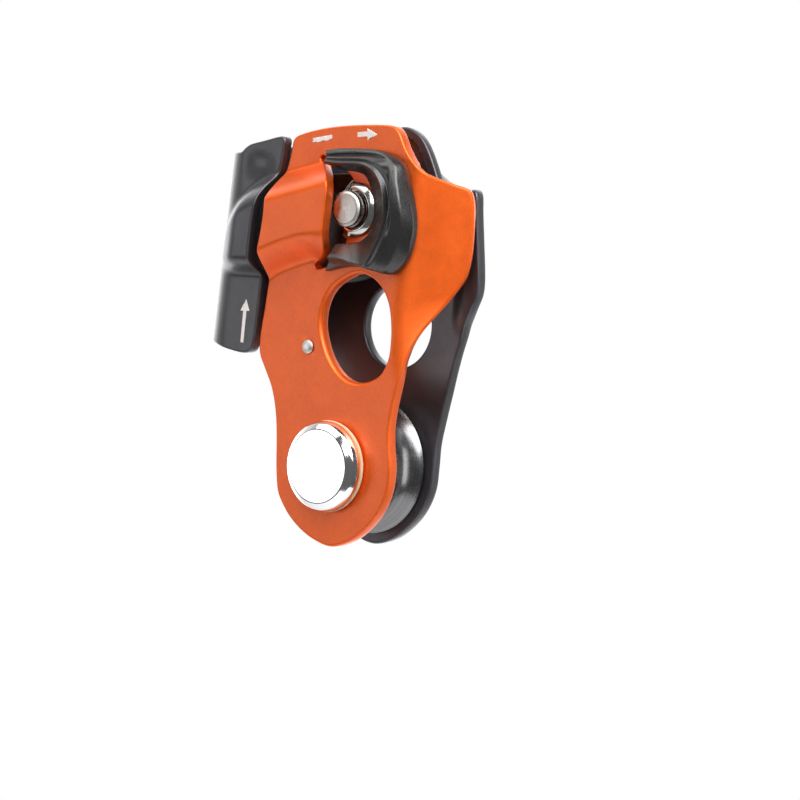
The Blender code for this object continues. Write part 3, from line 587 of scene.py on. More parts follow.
def tunnel_height(x, z):
    """How far forward the tunnel over the cam axle stands: a flat top between two ramps."""
    slit_top = np.interp(x, (-15.0, -13.6, -10.0, -6.7, -4.5), (77.5, 76.3, 74.9, 73.2, 71.5))
    slit_low = np.interp(x, (-13.0, -10.8, -7.8, -5.5, -4.5), (49.3, 50.0, 51.5, 53.4, 56.0))
    plate = (x > TONGUE_X + 0.4) | ((x > -15.0) & (z > slit_top)) | ((x > -13.0) & (z < slit_low))
    foot = 76.1 + 0.325 * (x + 14.4)
    low_foot = curve(x, (-28.0, -24.9, -19.4, -16.0, -12.0, -9.2, -5.0),
                     (43.2, 45.4, 48.0, 49.3, 50.5, 49.9, 48.4))
    low_top = curve(x, (-28.0, -20.0, -12.0, -5.0), (51.3, 54.3, 57.2, 58.5))
    slope = ((0.0, 0.10, 0.28, 0.5, 0.72, 0.92, 1.08), (0.0, 0.04, 0.24, 0.52, 0.78, 0.96, 1.0))
    over = curve((foot - z) / 8.4, *slope)
    under = curve((z - low_foot) / (low_top - low_foot), *slope)
    return np.where(plate, 0.0, BULGE * np.minimum(over, under))


def swing_place(x, z, depth):
    step = 0.05
    back = wing_bend(x, z)
    slope_x = (wing_bend(x + step, z) - wing_bend(x - step, z)) / (2 * step)
    slope_z = (wing_bend(x, z + step) - wing_bend(x, z - step)) / (2 * step)
    length = np.sqrt(1 + slope_x**2 + slope_z**2)
    return np.column_stack([x - slope_x * depth / length,
                            back - tunnel_height(x, z) + depth / length,
                            z - slope_z * depth / length])


def swing_side_plate():
    eye_rim = (1.05, 1.45, 0.5)
    outer = even_loop(swing_outline(), 0.7)
    holes = [even_loop(front_eye(), 0.7), even_loop(tunnel_mouth(), 0.5), circle(SHEAVE_X, 0.0, 7.0, 80),
             circle(RIVET_X, RIVET_Z, 1.5, 32)]
    rims = [eye_rim, (0.4, 0.4, 0.4), (0.3, 0.3, 0.3), (0.25, 0.25, 0.25)]
    grid = np.vstack([
        hex_grid(-30, 30, -22, 42, 1.5),
        hex_grid(-30, -3, 42.5, 77, 0.62),
        hex_grid(-3, 30, 43, 77, 0.95),
        hex_grid(-25, 30, 77.6, 88, 1.2),
    ])
    verts, faces = sheet(outer, holes, grid, swing_place, PLATE_T, (0.55, 0.55, 0.5), rims)
    add_piece("swing_plate_shell", verts, faces, ORANGE, "swing_plate", ["swing_side_plate"], 50)


# ---------------- fixed side plate

def channel_place(s, z, depth):
    """Wrap the flat pattern: s is x on the back plate, then runs round the channel to its lip."""
    offset = PLATE_T / 2 - depth
    arc = (CHANNEL_X - s) / CHANNEL_MID_R
    bend = np.clip(arc, 0, math.pi)
    r = CHANNEL_MID_R - offset
    x = np.where(arc <= 0, s, CHANNEL_X - r * np.sin(bend))
    x = np.where(arc >= math.pi, CHANNEL_X + (arc - math.pi) * CHANNEL_MID_R, x)
    return x, CHANNEL_Y + r * np.cos(bend)


def lip_bulge(s, z):
    """How far the channel's front bulges forward over the cam, in its middle."""
    arc = (CHANNEL_X - s) / CHANNEL_MID_R
    across = ramp(arc, 2.3, 3.6)
    foot = curve(arc, (2.4, 2.76, 2.96, 3.15, 3.38, 3.69, 3.97, 4.3),
                 (56.5, 60.5, 62.7, 65.0, 67.0, 69.0, 70.3, 71.6))
    rise = curve(foot - z, (0.0, 0.5, 1.4, 4.0, 6.8, 8.8), (0.0, 0.02, 0.16, 0.62, 0.92, 1.0))
    low = 43.4 + 1.0 * ramp(arc, 2.8, 4.2)
    start = curve(z - low, (0.0, 0.6, 2.2, 3.6, 5.0), (0.0, 0.08, 0.55, 0.9, 1.0))
    hollow = ramp(arc, 2.9, 3.5) * (1 - ramp(arc, 3.7, 4.3))
    hollow = hollow * ramp(z, 68.0, 73.0) * (1 - ramp(z, 73.0, 78.0))
    return 6.1 * across * start * rise - 0.8 * hollow


def fixed_place(s, z, depth):
    x, y = channel_place(s, z, depth)
    wing = 2.6 * ramp(s, 19.0, 25.0) * ramp(z, 34.0, 46.0)
    return np.column_stack([x, y - wing - lip_bulge(s, z), z])


def lip_s(x):
    """Flat-pattern place of a point at x on the channel's front lip."""
    return CHANNEL_X - math.pi * CHANNEL_MID_R - (x - CHANNEL_X)


def fixed_outline():
    leftmost = CHANNEL_X - math.pi / 2 * CHANNEL_MID_R
    left = [(-19.4, 7.0), (-20.8, 12.4), (-22.6, 17.0), (-25.0, 20.6), (-28.6, 23.2), (-33.0, 24.4),
            (CHANNEL_X, 24.8), (leftmost, 25.6), (lip_s(-44.0), 25.0), (lip_s(-38.0), 24.2),
            (lip_s(-32.5), 24.1), (lip_s(-30.2), 25.2), (lip_s(-29.5), 27.6)]
    lip = [(lip_s(-29.4), 34.0), (lip_s(-29.4), 42.0), (lip_s(-29.6), 48.0), (lip_s(-29.8), 56.0),
           (lip_s(-29.3), 64.0), (lip_s(-28.2), 69.0), (lip_s(-27.2), 74.0), (lip_s(-26.9), 78.4),
           (lip_s(-27.0), 80.3), (lip_s(-28.4), 80.8)]
    top = [(lip_s(-34.0), 79.2), (lip_s(-38.6), 77.8), (lip_s(-39.9), 77.0), (lip_s(-42.0), 75.4),
           (leftmost, 75.2), (CHANNEL_X - 4.0, 77.5), (CHANNEL_X + 3.0, 79.6), (-25.0, 80.6),
           (-10.0, 80.8), (0.0, 79.6), (6.0, 77.6), (12.0, 74.6), (17.0, 73.2)]
    right = [
        (21.0, 73.5), (23.4, 73.6), (24.6, 72.4), (25.4, 68.0), (27.0, 60.0), (28.5, 52.0),
        (28.6, 47.8), (27.0, 43.4), (24.9, 39.4), (23.1, 34.4), (21.9, 28.0), (21.1, 22.0),
        (20.2, 15.5), (19.4, 8.4)]
    return smooth_loop(left + lip + top + right + lobe_points()[:-1])


def fixed_side_plate():
    outer = even_loop(fixed_outline(), 0.75)
    holes = [circle(*EYE_REAR, 110), circle(SHEAVE_X, 0.0, 5.4, 60), circle(CAM_X, CAM_Z, 3.8, 48)]
    rims = [(0.75, 0.75, 0.7), (0.3, 0.3, 0.3), (0.3, 0.3, 0.3)]
    grid = np.vstack([
        hex_grid(lip_s(-25.0), CHANNEL_X + 1.0, 22.0, 82.0, 0.85),
        hex_grid(CHANNEL_X + 2.0, 18.0, -20.0, 82.0, 1.6),
        hex_grid(18.8, 29.0, 20.0, 75.0, 1.0),
    ])
    verts, faces = sheet(outer, holes, grid, fixed_place, PLATE_T, (0.55, 0.55, 0.55), rims)
    add_piece("fixed_plate_shell", verts, faces, DARK, "frame", ["fixed_side_plate"], 50)


# ---------------- thumb guard

# Lines that run round the guard from its upper left end to its lower left end. Each has how far
# the corner along it is rounded, its points (x, z) at the same thirteen stations, and its height
# over the plate there.
GUARD_LINES = (
    (0.5,  # inner
     [(-10.6, 75.3), (-4.5, 74.5), (0.6, 74.3), (2.8, 73.6), (4.5, 71.5), (5.9, 69.0), (6.8, 65.4),
      (6.8, 61.9), (5.6, 59.2), (3.2, 57.4), (0.2, 56.6), (-2.0, 56.2), (-3.9, 55.7)],
     (3.0, 3.0, 2.9, 2.9, 2.9, 2.9, 2.9, 2.9, 2.9, 2.9, 3.0, 3.2, 3.4)),
    (0.25,  # crest inside
     [(-9.6, 75.4), (-4.4, 75.5), (1.9, 75.8), (4.5, 75.3), (6.8, 74.2), (9.6, 71.5), (11.6, 66.9),
      (11.9, 62.8), (10.8, 59.1), (7.5, 52.9), (3.6, 52.5), (-0.2, 53.0), (-3.9, 53.0)],
     (4.7, 4.7, 4.7, 4.8, 5.0, 5.3, 5.5, 5.5, 5.5, 5.4, 5.2, 5.2, 5.2)),
    (0.18,  # crest
     [(-8.8, 76.0), (-4.1, 76.1), (2.2, 76.6), (5.0, 76.2), (7.6, 75.1), (10.4, 72.1), (12.1, 67.0),
      (12.4, 62.8), (11.4, 58.8), (7.9, 52.2), (3.8, 51.95), (-0.3, 52.5), (-4.2, 52.4)],
     (5.5, 5.5, 5.5, 5.6, 5.7, 5.9, 6.0, 6.0, 5.9, 5.8, 5.5, 5.5, 5.5)),
    (0.18,  # shelf
     [(-8.7, 76.5), (-4.3, 76.6), (2.1, 77.1), (5.2, 76.8), (8.1, 75.7), (11.0, 72.4), (12.6, 67.0),
      (12.9, 62.9), (11.9, 58.6), (8.4, 52.0), (3.9, 51.75), (-0.4, 52.2), (-4.5, 52.0)],
     (5.0, 5.0, 5.0, 5.0, 4.9, 4.5, 4.4, 5.0, 5.5, 5.5, 4.9, 4.9, 4.9)),
    (0.25,  # band
     [(-8.8, 77.0), (-4.6, 77.3), (2.0, 77.9), (5.6, 77.8), (9.4, 76.5), (12.0, 72.7), (13.2, 67.0),
      (13.7, 63.2), (12.8, 58.4), (9.4, 51.7), (4.0, 51.5), (-0.6, 51.9), (-4.9, 51.6)],
     (5.4, 5.4, 5.4, 5.3, 5.0, 4.4, 4.3, 4.9, 5.4, 5.4, 3.9, 3.9, 3.9)),
    (0.22,  # groove
     [(-9.7, 77.6), (-5.2, 78.1), (1.2, 78.8), (6.2, 78.8), (10.9, 77.3), (12.8, 72.9), (14.1, 67.2),
      (14.5, 63.2), (13.4, 58.2), (10.2, 51.4), (4.2, 51.25), (-1.1, 51.3), (-6.0, 50.6)],
     (2.7, 2.7, 2.7, 2.9, 4.4, 5.6, 6.0, 5.5, 5.1, 4.7, 2.9, 2.7, 2.5)),
    (0.4,  # middle
     [(-10.4, 77.9), (-5.8, 78.7), (0.4, 79.4), (6.8, 79.4), (12.3, 77.7), (14.6, 73.1), (16.6, 67.6),
      (17.3, 62.8), (16.3, 57.2), (12.6, 51.1), (4.5, 51.15), (-1.6, 50.8), (-7.2, 49.5)],
     (3.2, 3.2, 3.2, 3.2, 3.8, 4.8, 5.0, 4.6, 4.1, 3.4, 1.9, 1.9, 1.7)),
    (0.35,  # outer
     [(-11.6, 78.8), (-6.7, 79.7), (0.2, 80.3), (7.0, 80.2), (13.0, 78.1), (15.7, 73.3), (18.2, 67.3),
      (19.3, 61.8), (17.9, 54.9), (13.6, 50.5), (4.8, 51.1), (-2.0, 50.4), (-8.2, 48.6)],
     (2.4, 2.4, 2.4, 2.4, 2.3, 2.2, 2.1, 2.0, 2.0, 1.9, 1.5, 1.2, 1.1)),
)


def guard_line(points, heights, count):
    """The line as (x, height, z), with count points spread evenly over its stations."""
    line = np.array([(x, h, z) for (x, z), h in zip(points, heights)])
    fine = smooth_loop(line, 24, closed=False)
    where = np.linspace(0, len(fine) - 1, count)
    return np.column_stack([np.interp(where, np.arange(len(fine)), fine[:, k]) for k in range(3)])


def rounded_rows(lines, fillets, segments=4):
    """Lines lofted side by side, with the corner along each rounded."""
    rows = [lines[0]]
    for k in range(1, len(lines) - 1):
        arms = []
        for other in (lines[k - 1], lines[k + 1]):
            arm = other - lines[k]
            length = np.linalg.norm(arm, axis=1)[:, None]
            arms.append(arm / length * np.minimum(fillets[k], 0.42 * length))
        for t in np.linspace(0, 1, segments + 1):
            rows.append(lines[k] + (1 - t) ** 2 * arms[0] + t**2 * arms[1])
    rows.append(lines[-1])
    return rows


def thumb_guard():
    count = 220
    lines = [guard_line(points, heights, count) for _, points, heights in GUARD_LINES]
    fillets = [0, *[line[0] for line in GUARD_LINES], 0]
    feet = []
    for line in (lines[0], lines[-1]):
        foot = line.copy()
        foot[:, 1] = 0.3
        feet.append(foot)
    rows = rounded_rows([feet[0], *lines, feet[1]], fillets)
    verts = np.vstack(rows) * (1, -1, 1)
    width, faces = len(rows), []
    for r in range(width):
        after = (r + 1) % width
        faces += [(r * count + i, r * count + i + 1, after * count + i + 1, after * count + i)
                  for i in range(count - 1)]
    faces += [[r * count + i for r in range(width)] for i in (0, count - 1)]
    add_piece("thumb_guard_shell", verts, faces, PLASTIC, "swing_plate", ["thumb_guard"], 55)


# ---------------- swing plate fittings

def wear_ring():
    """C-shaped steel ring round the notch, open on the left where the cam axle leaves."""
    section = rounded([
        (4.6, -0.3), (4.35, -0.3, 0.1), (4.35, -1.35, 0.2), (5.5, -1.75, 0.5), (6.9, -0.95, 0.35),
        (6.9, -0.3, 0.1), (6.6, -0.3)], 4)
    verts, faces = [], []
    turn = np.radians(np.linspace(-111, 101, 110))
    n = len(section)
    for a in turn:
        verts += [(CAM_X + r * math.cos(a), y, CAM_Z + r * math.sin(a)) for r, y in section]
    for k in range(len(turn) - 1):
        for i in range(n):
            j = (i + 1) % n
            faces.append((k * n + i, k * n + j, (k + 1) * n + j, (k + 1) * n + i))
    faces.append(list(range(n)))
    faces.append([(len(turn) - 1) * n + i for i in reversed(range(n))])
    add_piece("wear_ring_shell", verts, faces, STEEL, "swing_plate", ["wear_ring"], 40)


def small_swing_parts():
    turned("stop_rivet_shell",
           rounded([(0.0, -0.85), (0.9, -0.83, 0.8), (1.75, -0.45, 0.3), (1.75, -0.28, 0.05), (1.2, -0.28),
                    (1.2, 3.0, 0.2), (0.0, 3.05)]),
           RIVET, "swing_plate", ["stop_rivet"], RIVET_X, RIVET_Z, 48)
    turned("plate_bushing_shell", ring_profile(AXLE_R + 0.3, 6.7, -0.2, PLATE_T), BRONZE, "swing_plate",
           ["plate_bushing"], segments=72)


# ---------------- sheave, bearing and axle

def sheave():
    half, mid = 6.65, SHEAVE_MID_Y
    groove = []
    for t in np.linspace(-1, 1, 25):
        depth = max(0.0, math.cos(t * math.pi / 2)) ** 0.8
        groove.append((17.5 - 2.5 * depth, mid + t * (half - 1.0)))
    side = [(12.5, mid - 4.3), (12.5, mid - half + 0.25, 0.15), (13.4, mid - half + 0.25, 0.3),
            (14.2, mid - half, 0.3), (16.8, mid - half, 0.5)]
    left = rounded(side + [groove[0]])
    right = [(r, 2 * mid - y) for r, y in reversed(left)]
    inner = [(12.5, mid + 4.3)]
    profile = left[:-1] + groove + right[1:-1] + inner
    turned("sheave_wheel_shell", profile, SHEAVE_LOOK, "sheave_wheel", ["sheave"], segments=160, closed=True,
           sharp=35)


def bearing():
    mid = SHEAVE_MID_Y
    inner, outer = AXLE_R + 0.3, 6.95
    groove = [(outer - 0.28 * math.cos(t * math.pi / 2), mid + 1.2 * t) for t in np.linspace(-1, 1, 9)]
    profile = [(inner, mid - 4.1), (outer, mid - 4.1), *groove, (outer, mid + 4.1), (inner, mid + 4.1)]
    turned("bearing_inner_race_shell", profile, STEEL, "frame", ["bearing_inner_race"], closed=True,
           segments=96)
    inner, outer = 10.25, 12.2
    groove = [(inner + 0.28 * math.cos(t * math.pi / 2), mid - 1.2 * t) for t in np.linspace(-1, 1, 9)]
    profile = [(inner, mid - 4.1), (outer, mid - 4.1), (outer, mid + 4.1), (inner, mid + 4.1), *groove]
    turned("bearing_outer_race_shell", profile, STEEL, "sheave_wheel", ["bearing_outer_race"], closed=True,
           segments=96)
    for index in range(BALL_COUNT):
        a = 2 * math.pi * index / BALL_COUNT
        x, z = SHEAVE_X + BALL_RING_R * math.cos(a), BALL_RING_R * math.sin(a)
        arc = [(BALL_R * math.sin(t), mid - BALL_R * math.cos(t)) for t in np.linspace(0, math.pi, 17)]
        turned(f"bearing_ball_shell_{index + 1}", arc, STEEL, "ball_set", [f"bearing_ball_{index + 1}"],
               x, z, 32, sharp=180)
    cage = frame["nodes"]["bearing_cage"].data.materials
    cage.clear()
    cage.append(BRONZE)


def sheave_axle():
    """Shank with the broad polished head: flat face, rounded bevel, short cylindrical rim."""
    head = rounded([
        (0.0, -5.0), (9.35, -5.0, 0.9), (11.0, -3.9, 1.6), (HEAD_R, -2.6, 0.8), (HEAD_R, -1.75, 0.25),
        (11.0, -1.5, 0.1), (AXLE_R, -1.5), (AXLE_R, 23.2, 0.3), (0.0, 23.2)], 8)
    turned("sheave_axle_shell", head, POLISHED, "frame", ["sheave_axle"], segments=180, sharp=40)
    turned("axle_rear_head_shell",
           rounded([(AXLE_R + 0.3, 22.0), (AXLE_R + 0.3, 21.9), (8.7, 21.9, 0.3), (8.9, 22.5, 0.4),
                    (7.6, 23.4, 0.5), (AXLE_R + 0.3, 23.4, 0.2), (AXLE_R + 0.3, 23.0)]),
           POLISHED, "frame", ["axle_rear_head"], closed=True)
    for name, look, outer, y0, y1 in (("axle_washer", NYLON, 11.6, -1.2, -0.5),
                                      ("axle_rear_washer", BRUSHED, 9.4, 21.0, 21.7),
                                      ("front_spacer", BRUSHED, 7.6, 3.5, 6.0),
                                      ("rear_spacer", BRUSHED, 7.6, 14.8, 17.4)):
        turned(name + "_shell", ring_profile(AXLE_R + 0.3, outer, y0, y1), look, "frame", [name],
               closed=True)


# ---------------- cam and its axle

RIB_PITCH, RIB_HEIGHT = 0.95, 0.42


def polar_points(polar):
    """Points about the cam axle from (degrees, radius) pairs."""
    return np.array([(CAM_X + r * math.cos(math.radians(a)), CAM_Z + r * math.sin(math.radians(a)))
                     for a, r in polar])


def ribbed(points):
    """The open outline again with small saw teeth along it, pointing out to its right."""
    along = running_length(points)
    count = int(along[-1] / RIB_PITCH)
    where = np.linspace(0, along[-1], count * 4 + 1)
    line = np.column_stack([np.interp(where, along, points[:, k]) for k in (0, 1)])
    ahead = np.gradient(line, axis=0)
    ahead /= np.linalg.norm(ahead, axis=1)[:, None]
    out = np.column_stack([ahead[:, 1], -ahead[:, 0]])
    saw = np.array([0.0, 0.35, 0.8, 1.0])[np.arange(len(where)) % 4]
    return line + out * (saw * RIB_HEIGHT)[:, None]


def cam_outline():
    """Toothed rope side and spiral underside, then the hub, counter-clockwise."""
    toothed = [
        (176.0, 30.4), (186.0, 31.0), (196.0, 31.6), (206.0, 32.2), (215.0, 32.5), (219.0, 31.2),
        (224.0, 28.6), (230.0, 25.8), (237.0, 23.1), (244.0, 20.9), (252.0, 18.7), (260.0, 16.9),
        (268.0, 15.2), (277.0, 12.8)]
    hub = [(288.0, 10.2), (300.0, 8.2)] + [(a, 7.6) for a in range(315, 460, 9)]
    top = [(112.0, 9.0), (132.0, 11.5), (152.0, 16.5), (166.0, 23.0), (173.0, 28.6)]
    spiral = ribbed(smooth_loop(polar_points(toothed), 12, closed=False))
    rest = smooth_loop(polar_points(hub + top), 6, closed=False)
    return np.vstack([spiral, rest])


def flat_place(front):
    def place(x, z, depth):
        return np.column_stack([x, front + depth, z])
    return place


def cam():
    slot = smooth_loop(polar_points([
        (184, 25.0), (190, 26.4), (200, 26.8), (206, 26.0), (204, 24.0), (196, 23.6), (188, 23.4)]))
    rim = (0.12, 0.12, 0.12)
    verts, faces = sheet(cam_outline(), [circle(CAM_X, CAM_Z, 5.0, 60), even_loop(slot, 0.6)],
                         hex_grid(-34, 8, 40, 76, 1.6), flat_place(CAM_FRONT), CAM_BACK - CAM_FRONT, rim,
                         [(0.3, 0.3, 0.3), (0.4, 0.4, 0.4)], 2)
    add_piece("cam_shell", verts, faces, CAM_STEEL, "cam_arm", ["cam"], 30)
    tail = smooth_loop(polar_points([
        (330.0, 6.6), (346.0, 8.6), (356.0, 11.0), (8.0, 15.0), (20.0, 16.0), (38.0, 15.0),
        (54.0, 14.8), (70.0, 15.4), (84.0, 13.4), (94.0, 9.8), (104.0, 6.8)]
                                    + [(a, 5.6) for a in range(90, -31, -20)]))
    verts, faces = sheet(even_loop(tail, 0.6), [circle(x, z, 1.5, 28) for x, z in LEVER_RIVETS],
                         hex_grid(-3, 18, 58, 82, 1.6), flat_place(CAM_FRONT + 0.02), 2.18,
                         (0.25, 0.25, 0.25), None, 3)
    add_piece("cam_tail", verts, faces, CAM_STEEL, "cam_arm", [], 40)


def lever_outline():
    return smooth_loop([
        (7.8, 64.8), (11.4, 65.8), (15.4, 67.6), (18.2, 69.8), (18.6, 72.0), (16.8, 75.0),
        (14.7, 78.6), (12.6, 81.8), (10.4, 84.4), (7.6, 86.2), (4.4, 87.0), (1.4, 86.2), (-0.6, 83.4),
        (-1.6, 79.0), (-1.4, 75.2), (0.2, 74.0), (3.6, 72.5), (6.2, 70.0), (7.6, 67.0)])


def cam_lever():
    """Moulded lever: a raised band along its edge round a deep pocket."""
    outline = even_loop(lever_outline(), 0.6)

    def place(x, z, depth):
        reach = edge_distance(np.column_stack([x, z]), outline)
        pocket = 1.75 * ramp(reach, 2.35, 2.75) * ramp(z - 0.35 * x, 69.5, 70.2)
        front = depth < LEVER_T / 2
        return np.column_stack([x, LEVER_FRONT + depth + np.where(front, pocket, 0.0), z])

    verts, faces = sheet(outline, [circle(x, z, 1.5, 28) for x, z in LEVER_RIVETS],
                         hex_grid(-3, 21, 63, 89, 0.4), place, LEVER_T, (0.5, 0.5, 0.5), None, 4)
    add_piece("cam_lever_shell", verts, faces, DARK, "cam_arm", ["cam_lever"], 45)


def cam_fittings():
    for index, (x, z) in enumerate(LEVER_RIVETS, start=1):
        turned(f"lever_rivet_shell_{index}",
               rounded([(0.0, 5.15), (1.2, 5.2, 0.6), (2.0, 5.7, 0.1), (1.2, 5.7), (1.2, 11.3),
                        (2.0, 11.3, 0.1), (1.2, 11.9, 0.6), (0.0, 12.0)]),
               STEEL, "cam_arm", [f"lever_rivet_{index}"], x, z, 40)
    turned("cam_bushing_shell", ring_profile(CAM_AXLE_R + 0.3, 4.7, CAM_FRONT - 0.2, CAM_BACK + 0.2), BRONZE,
           "cam_arm", ["cam_bushing"], CAM_X, CAM_Z, 64, closed=True)
    turned("cam_rear_spacer_shell", ring_profile(CAM_AXLE_R + 0.3, 6.0, CAM_BACK + 0.5, 17.4), BRUSHED,
           "frame", ["cam_rear_spacer"], CAM_X, CAM_Z, 64, closed=True)
    turned("cam_axle_shell",
           rounded([(0.0, -4.5), (3.75, -4.5, 0.35), (CAM_HEAD_R, -4.0, 0.7), (CAM_HEAD_R, -2.3, 0.25),
                    (4.2, -1.9, 0.1), (CAM_AXLE_R, -1.8), (CAM_AXLE_R, 22.6, 0.3), (0.0, 22.6)], 6),
           BUTTON, "frame", ["cam_axle"], CAM_X, CAM_Z, 96, sharp=50)
    turned("cam_axle_rear_head_shell",
           rounded([(CAM_AXLE_R + 0.3, 21.2), (CAM_AXLE_R + 0.3, 21.1), (6.4, 21.1, 0.2), (6.5, 21.6, 0.3),
                    (5.2, 22.8, 0.5), (CAM_AXLE_R + 0.3, 22.8, 0.2), (CAM_AXLE_R + 0.3, 22.5)]),
           STEEL, "frame", ["cam_axle_rear_head"], CAM_X, CAM_Z, 80, closed=True)


def cam_spring():
    """Torsion spring round the cam axle, in front of the cam, with a straight leg at each end."""
    radius, turns, first, last = 8.7, 1.9, 3.6, 5.5
    start = math.radians(248)
    route = []
    for t in np.linspace(0, 1, 120):
        a = start + t * turns * 2 * math.pi
        route.append(np.array([CAM_X + radius * math.cos(a), first + (last - first) * t,
                               CAM_Z + radius * math.sin(a)]))
    for end, beside, reach in ((0, 1, 3.0), (-1, -2, 4.0)):
        leg = route[end] - route[beside]
        leg[1] = 0.0
        tip = route[end] + leg / np.linalg.norm(leg) * reach
        route.insert(0, tip) if end == 0 else route.append(tip)
    data = bpy.data.curves.new("cam_spring_wire", "CURVE")
    data.dimensions = "3D"
    data.bevel_depth = 0.42 * MM
    data.bevel_resolution = 4
    data.use_fill_caps = True
    spline = data.splines.new("POLY")
    spline.points.add(len(route) - 1)
    for point, place in zip(spline.points, route):
        point.co = (*((place - ORIGIN) * MM), 1.0)
    data.materials.append(STEEL)
    wire = put("cam_spring_wire", data)
    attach(wire, "frame")
    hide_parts("cam_spring")


# ---------------- markings

def marking(name, corners, surface, body, lift=0.03):
    """Thin printed shape that follows a plate. surface(x, z) gives its front face's y."""
    loop = even_loop(np.array(corners, float), 0.25)
    low, high = loop.min(axis=0), loop.max(axis=0)
    flat, faces = filled([loop], hex_grid(low[0], high[0], low[1], high[1], 0.35))
    n = len(flat)
    y = surface(flat[:, 0], flat[:, 1])
    verts = np.vstack([np.column_stack([flat[:, 0], y - lift, flat[:, 1]]),
                       np.column_stack([flat[:, 0], y + 0.02, flat[:, 1]])])
    ring = np.arange(len(loop))
    walls = list(zip(ring, np.roll(ring, -1), np.roll(ring, -1) + n, ring + n))
    add_piece(name, verts, [tuple(f) for f in faces] + [tuple(f[::-1] + n) for f in faces] + walls, INK,
              body, [], 30)


def swing_front(x, z):
    return swing_place(x, z, np.zeros(len(x)))[:, 1]


def lip_front(x, z):
    return np.full(len(x), CHANNEL_Y - CHANNEL_R)


def markings():
    bar = [(-18.4, 81.3), (-18.1, 80.1), (-11.8, 81.6), (-12.1, 82.8)]
    arrow = [(-3.8, 84.2), (-3.6, 83.0), (-0.4, 83.5), (-0.2, 82.5), (2.7, 84.3), (-0.8, 85.5), (-0.6, 84.7)]
    upward = [(-33.0, 26.7), (-34.0, 26.6), (-34.3, 34.9), (-35.3, 34.8), (-33.7, 38.0), (-32.1, 35.1),
              (-33.2, 35.0)]
    marking("opening_bar_mark", bar, swing_front, "swing_plate")
    marking("opening_arrow_mark", arrow, swing_front, "swing_plate")
    marking("rope_arrow_mark", upward, lip_front, "frame")


# ---------------- stage, light and camera

LEAN = math.radians(9.0)                # the object leans this much clockwise as it is seen
TURN = math.radians(39.0)               # the camera stands this far round to the right
CAMERA_DISTANCE = 685.0
LENS = 122.0                            # focal length for a 36 mm wide sensor
VIEW_RIGHT, VIEW_UP = 17.94, 16.68      # middle of the view, from the sheave axle
FLOOR_DROP = 0.42
WORLD_STOPS = ((0.0, 0.12), (0.55, 0.09), (0.76, 0.8), (0.90, 2.4))     # from in front to behind


def from_world(x, y, z):
    """A direction or place of the upright studio, in the design frame of the leaning object."""
    return np.array([x * math.cos(LEAN) - z * math.sin(LEAN), y, x * math.sin(LEAN) + z * math.cos(LEAN)])


def camera():
    right = np.array([math.cos(TURN), math.sin(TURN), 0.0])
    ahead = np.array([-math.sin(TURN), math.cos(TURN), 0.0])
    up = np.array([0.0, 0.0, 1.0])
    place = VIEW_RIGHT * right + VIEW_UP * up - CAMERA_DISTANCE * ahead
    axes = [from_world(*right), from_world(*up), from_world(*-ahead)]
    matrix = Matrix([[axes[0][k], axes[1][k], axes[2][k], value]
                     for k, value in enumerate((from_world(*place) - ORIGIN) * MM)] + [[0, 0, 0, 1]])
    data = bpy.data.cameras.new("camera")
    data.sensor_width = 36.0
    data.lens = LENS
    data.clip_start, data.clip_end = 0.01, 50
    obj = put("camera", data)
    obj.matrix_world = matrix
    bpy.context.scene.camera = obj


def softbox(name, azimuth, elevation, distance, width, height, radiance):
    """Area light that faces the object. Azimuth 0 is in front of the plates, 90 to their right."""
    a, e = math.radians(azimuth), math.radians(elevation)
    place = Vector((math.sin(a) * math.cos(e), -math.cos(a) * math.cos(e), math.sin(e))) * distance
    data = bpy.data.lights.new(name, "AREA")
    data.shape = "RECTANGLE"
    data.size, data.size_y = width, height
    data.energy = radiance * math.pi * width * height
    obj = put(name, data)
    obj.location = place
    obj.rotation_euler = (-place).to_track_quat("-Z", "Y").to_euler()
    obj.visible_camera = False


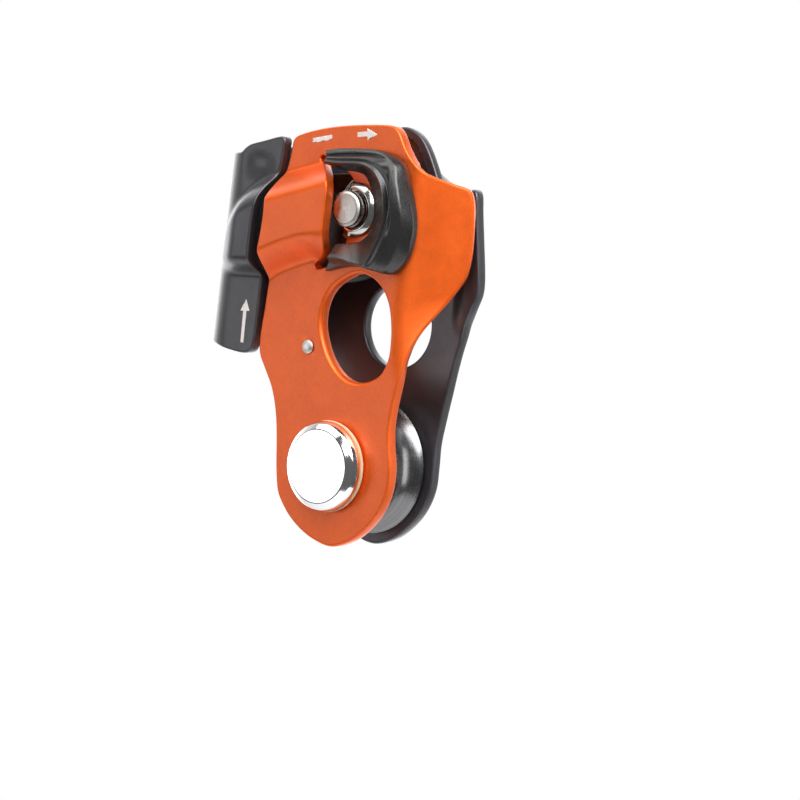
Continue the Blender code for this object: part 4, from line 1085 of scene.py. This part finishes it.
def studio_world():
    """White surroundings for the camera; for reflections, white behind and grey in front."""
    world = bpy.data.worlds.new("studio")
    bpy.context.scene.world = world
    world.use_nodes = True
    nodes, link = world.node_tree.nodes, world.node_tree.links.new
    nodes.clear()
    out, mix, seen, around, path, place, dot, shade, half = (
        nodes.new("ShaderNode" + kind) for kind in (
            "OutputWorld", "MixShader", "Background", "Background", "LightPath", "TexCoord",
            "VectorMath", "ValToRGB", "Math"))
    seen.inputs["Color"].default_value = (1.0, 1.0, 1.0, 1.0)
    dot.operation = "DOT_PRODUCT"
    dot.inputs[1].default_value = (-math.sin(TURN), math.cos(TURN), 0.0)
    shade.color_ramp.interpolation = "EASE"
    while len(shade.color_ramp.elements) < len(WORLD_STOPS):
        shade.color_ramp.elements.new(0.5)
    for element, (where, grey) in zip(shade.color_ramp.elements, WORLD_STOPS):
        element.position = where
        element.color = (grey, grey, grey, 1.0)
    half.operation = "MULTIPLY_ADD"
    half.inputs[1].default_value = half.inputs[2].default_value = 0.5
    link(place.outputs["Generated"], dot.inputs[0])
    link(dot.outputs["Value"], half.inputs[0])
    link(half.outputs["Value"], shade.inputs["Fac"])
    link(shade.outputs["Color"], around.inputs["Color"])
    link(path.outputs["Is Camera Ray"], mix.inputs["Fac"])
    link(around.outputs["Background"], mix.inputs[1])
    link(seen.outputs["Background"], mix.inputs[2])
    link(mix.outputs["Shader"], out.inputs["Surface"])


def floor():
    """Large pale floor below the hanging object."""
    mesh = bpy.data.meshes.new("floor")
    bm = bmesh.new()
    bmesh.ops.create_circle(bm, cap_ends=True, segments=96, radius=0.60)
    bm.to_mesh(mesh)
    bm.free()
    material = bpy.data.materials.new("pale_floor")
    material.use_nodes = True
    shader = material.node_tree.nodes["Principled BSDF"]
    shader.inputs["Base Color"].default_value = (0.76, 0.76, 0.76, 1.0)
    shader.inputs["Roughness"].default_value = 0.8
    shader.inputs["Specular IOR Level"].default_value = 0.0
    mesh.materials.append(material)
    obj = put("floor", mesh)
    obj.location = (0.0, 0.0, cad_box[0].z - FLOOR_DROP)


def lights():
    softbox("front_left_softbox", -41, -3, 1.1, 0.50, 0.45, 1.65)
    softbox("upper_left_softbox", -42, 50, 1.1, 0.9, 0.6, 2.4)
    softbox("high_softbox", 42, 46, 1.0, 1.0, 0.9, 6.2)
    softbox("right_rim", 118, 5, 1.1, 0.4, 1.1, 2.5)


fixed_side_plate()
swing_side_plate()
thumb_guard()
wear_ring()
small_swing_parts()
sheave()
bearing()
sheave_axle()
cam()
cam_lever()
cam_fittings()
cam_spring()
markings()
camera()
studio_world()
floor()
lights()
bpy.context.scene.view_settings.view_transform = "Standard"
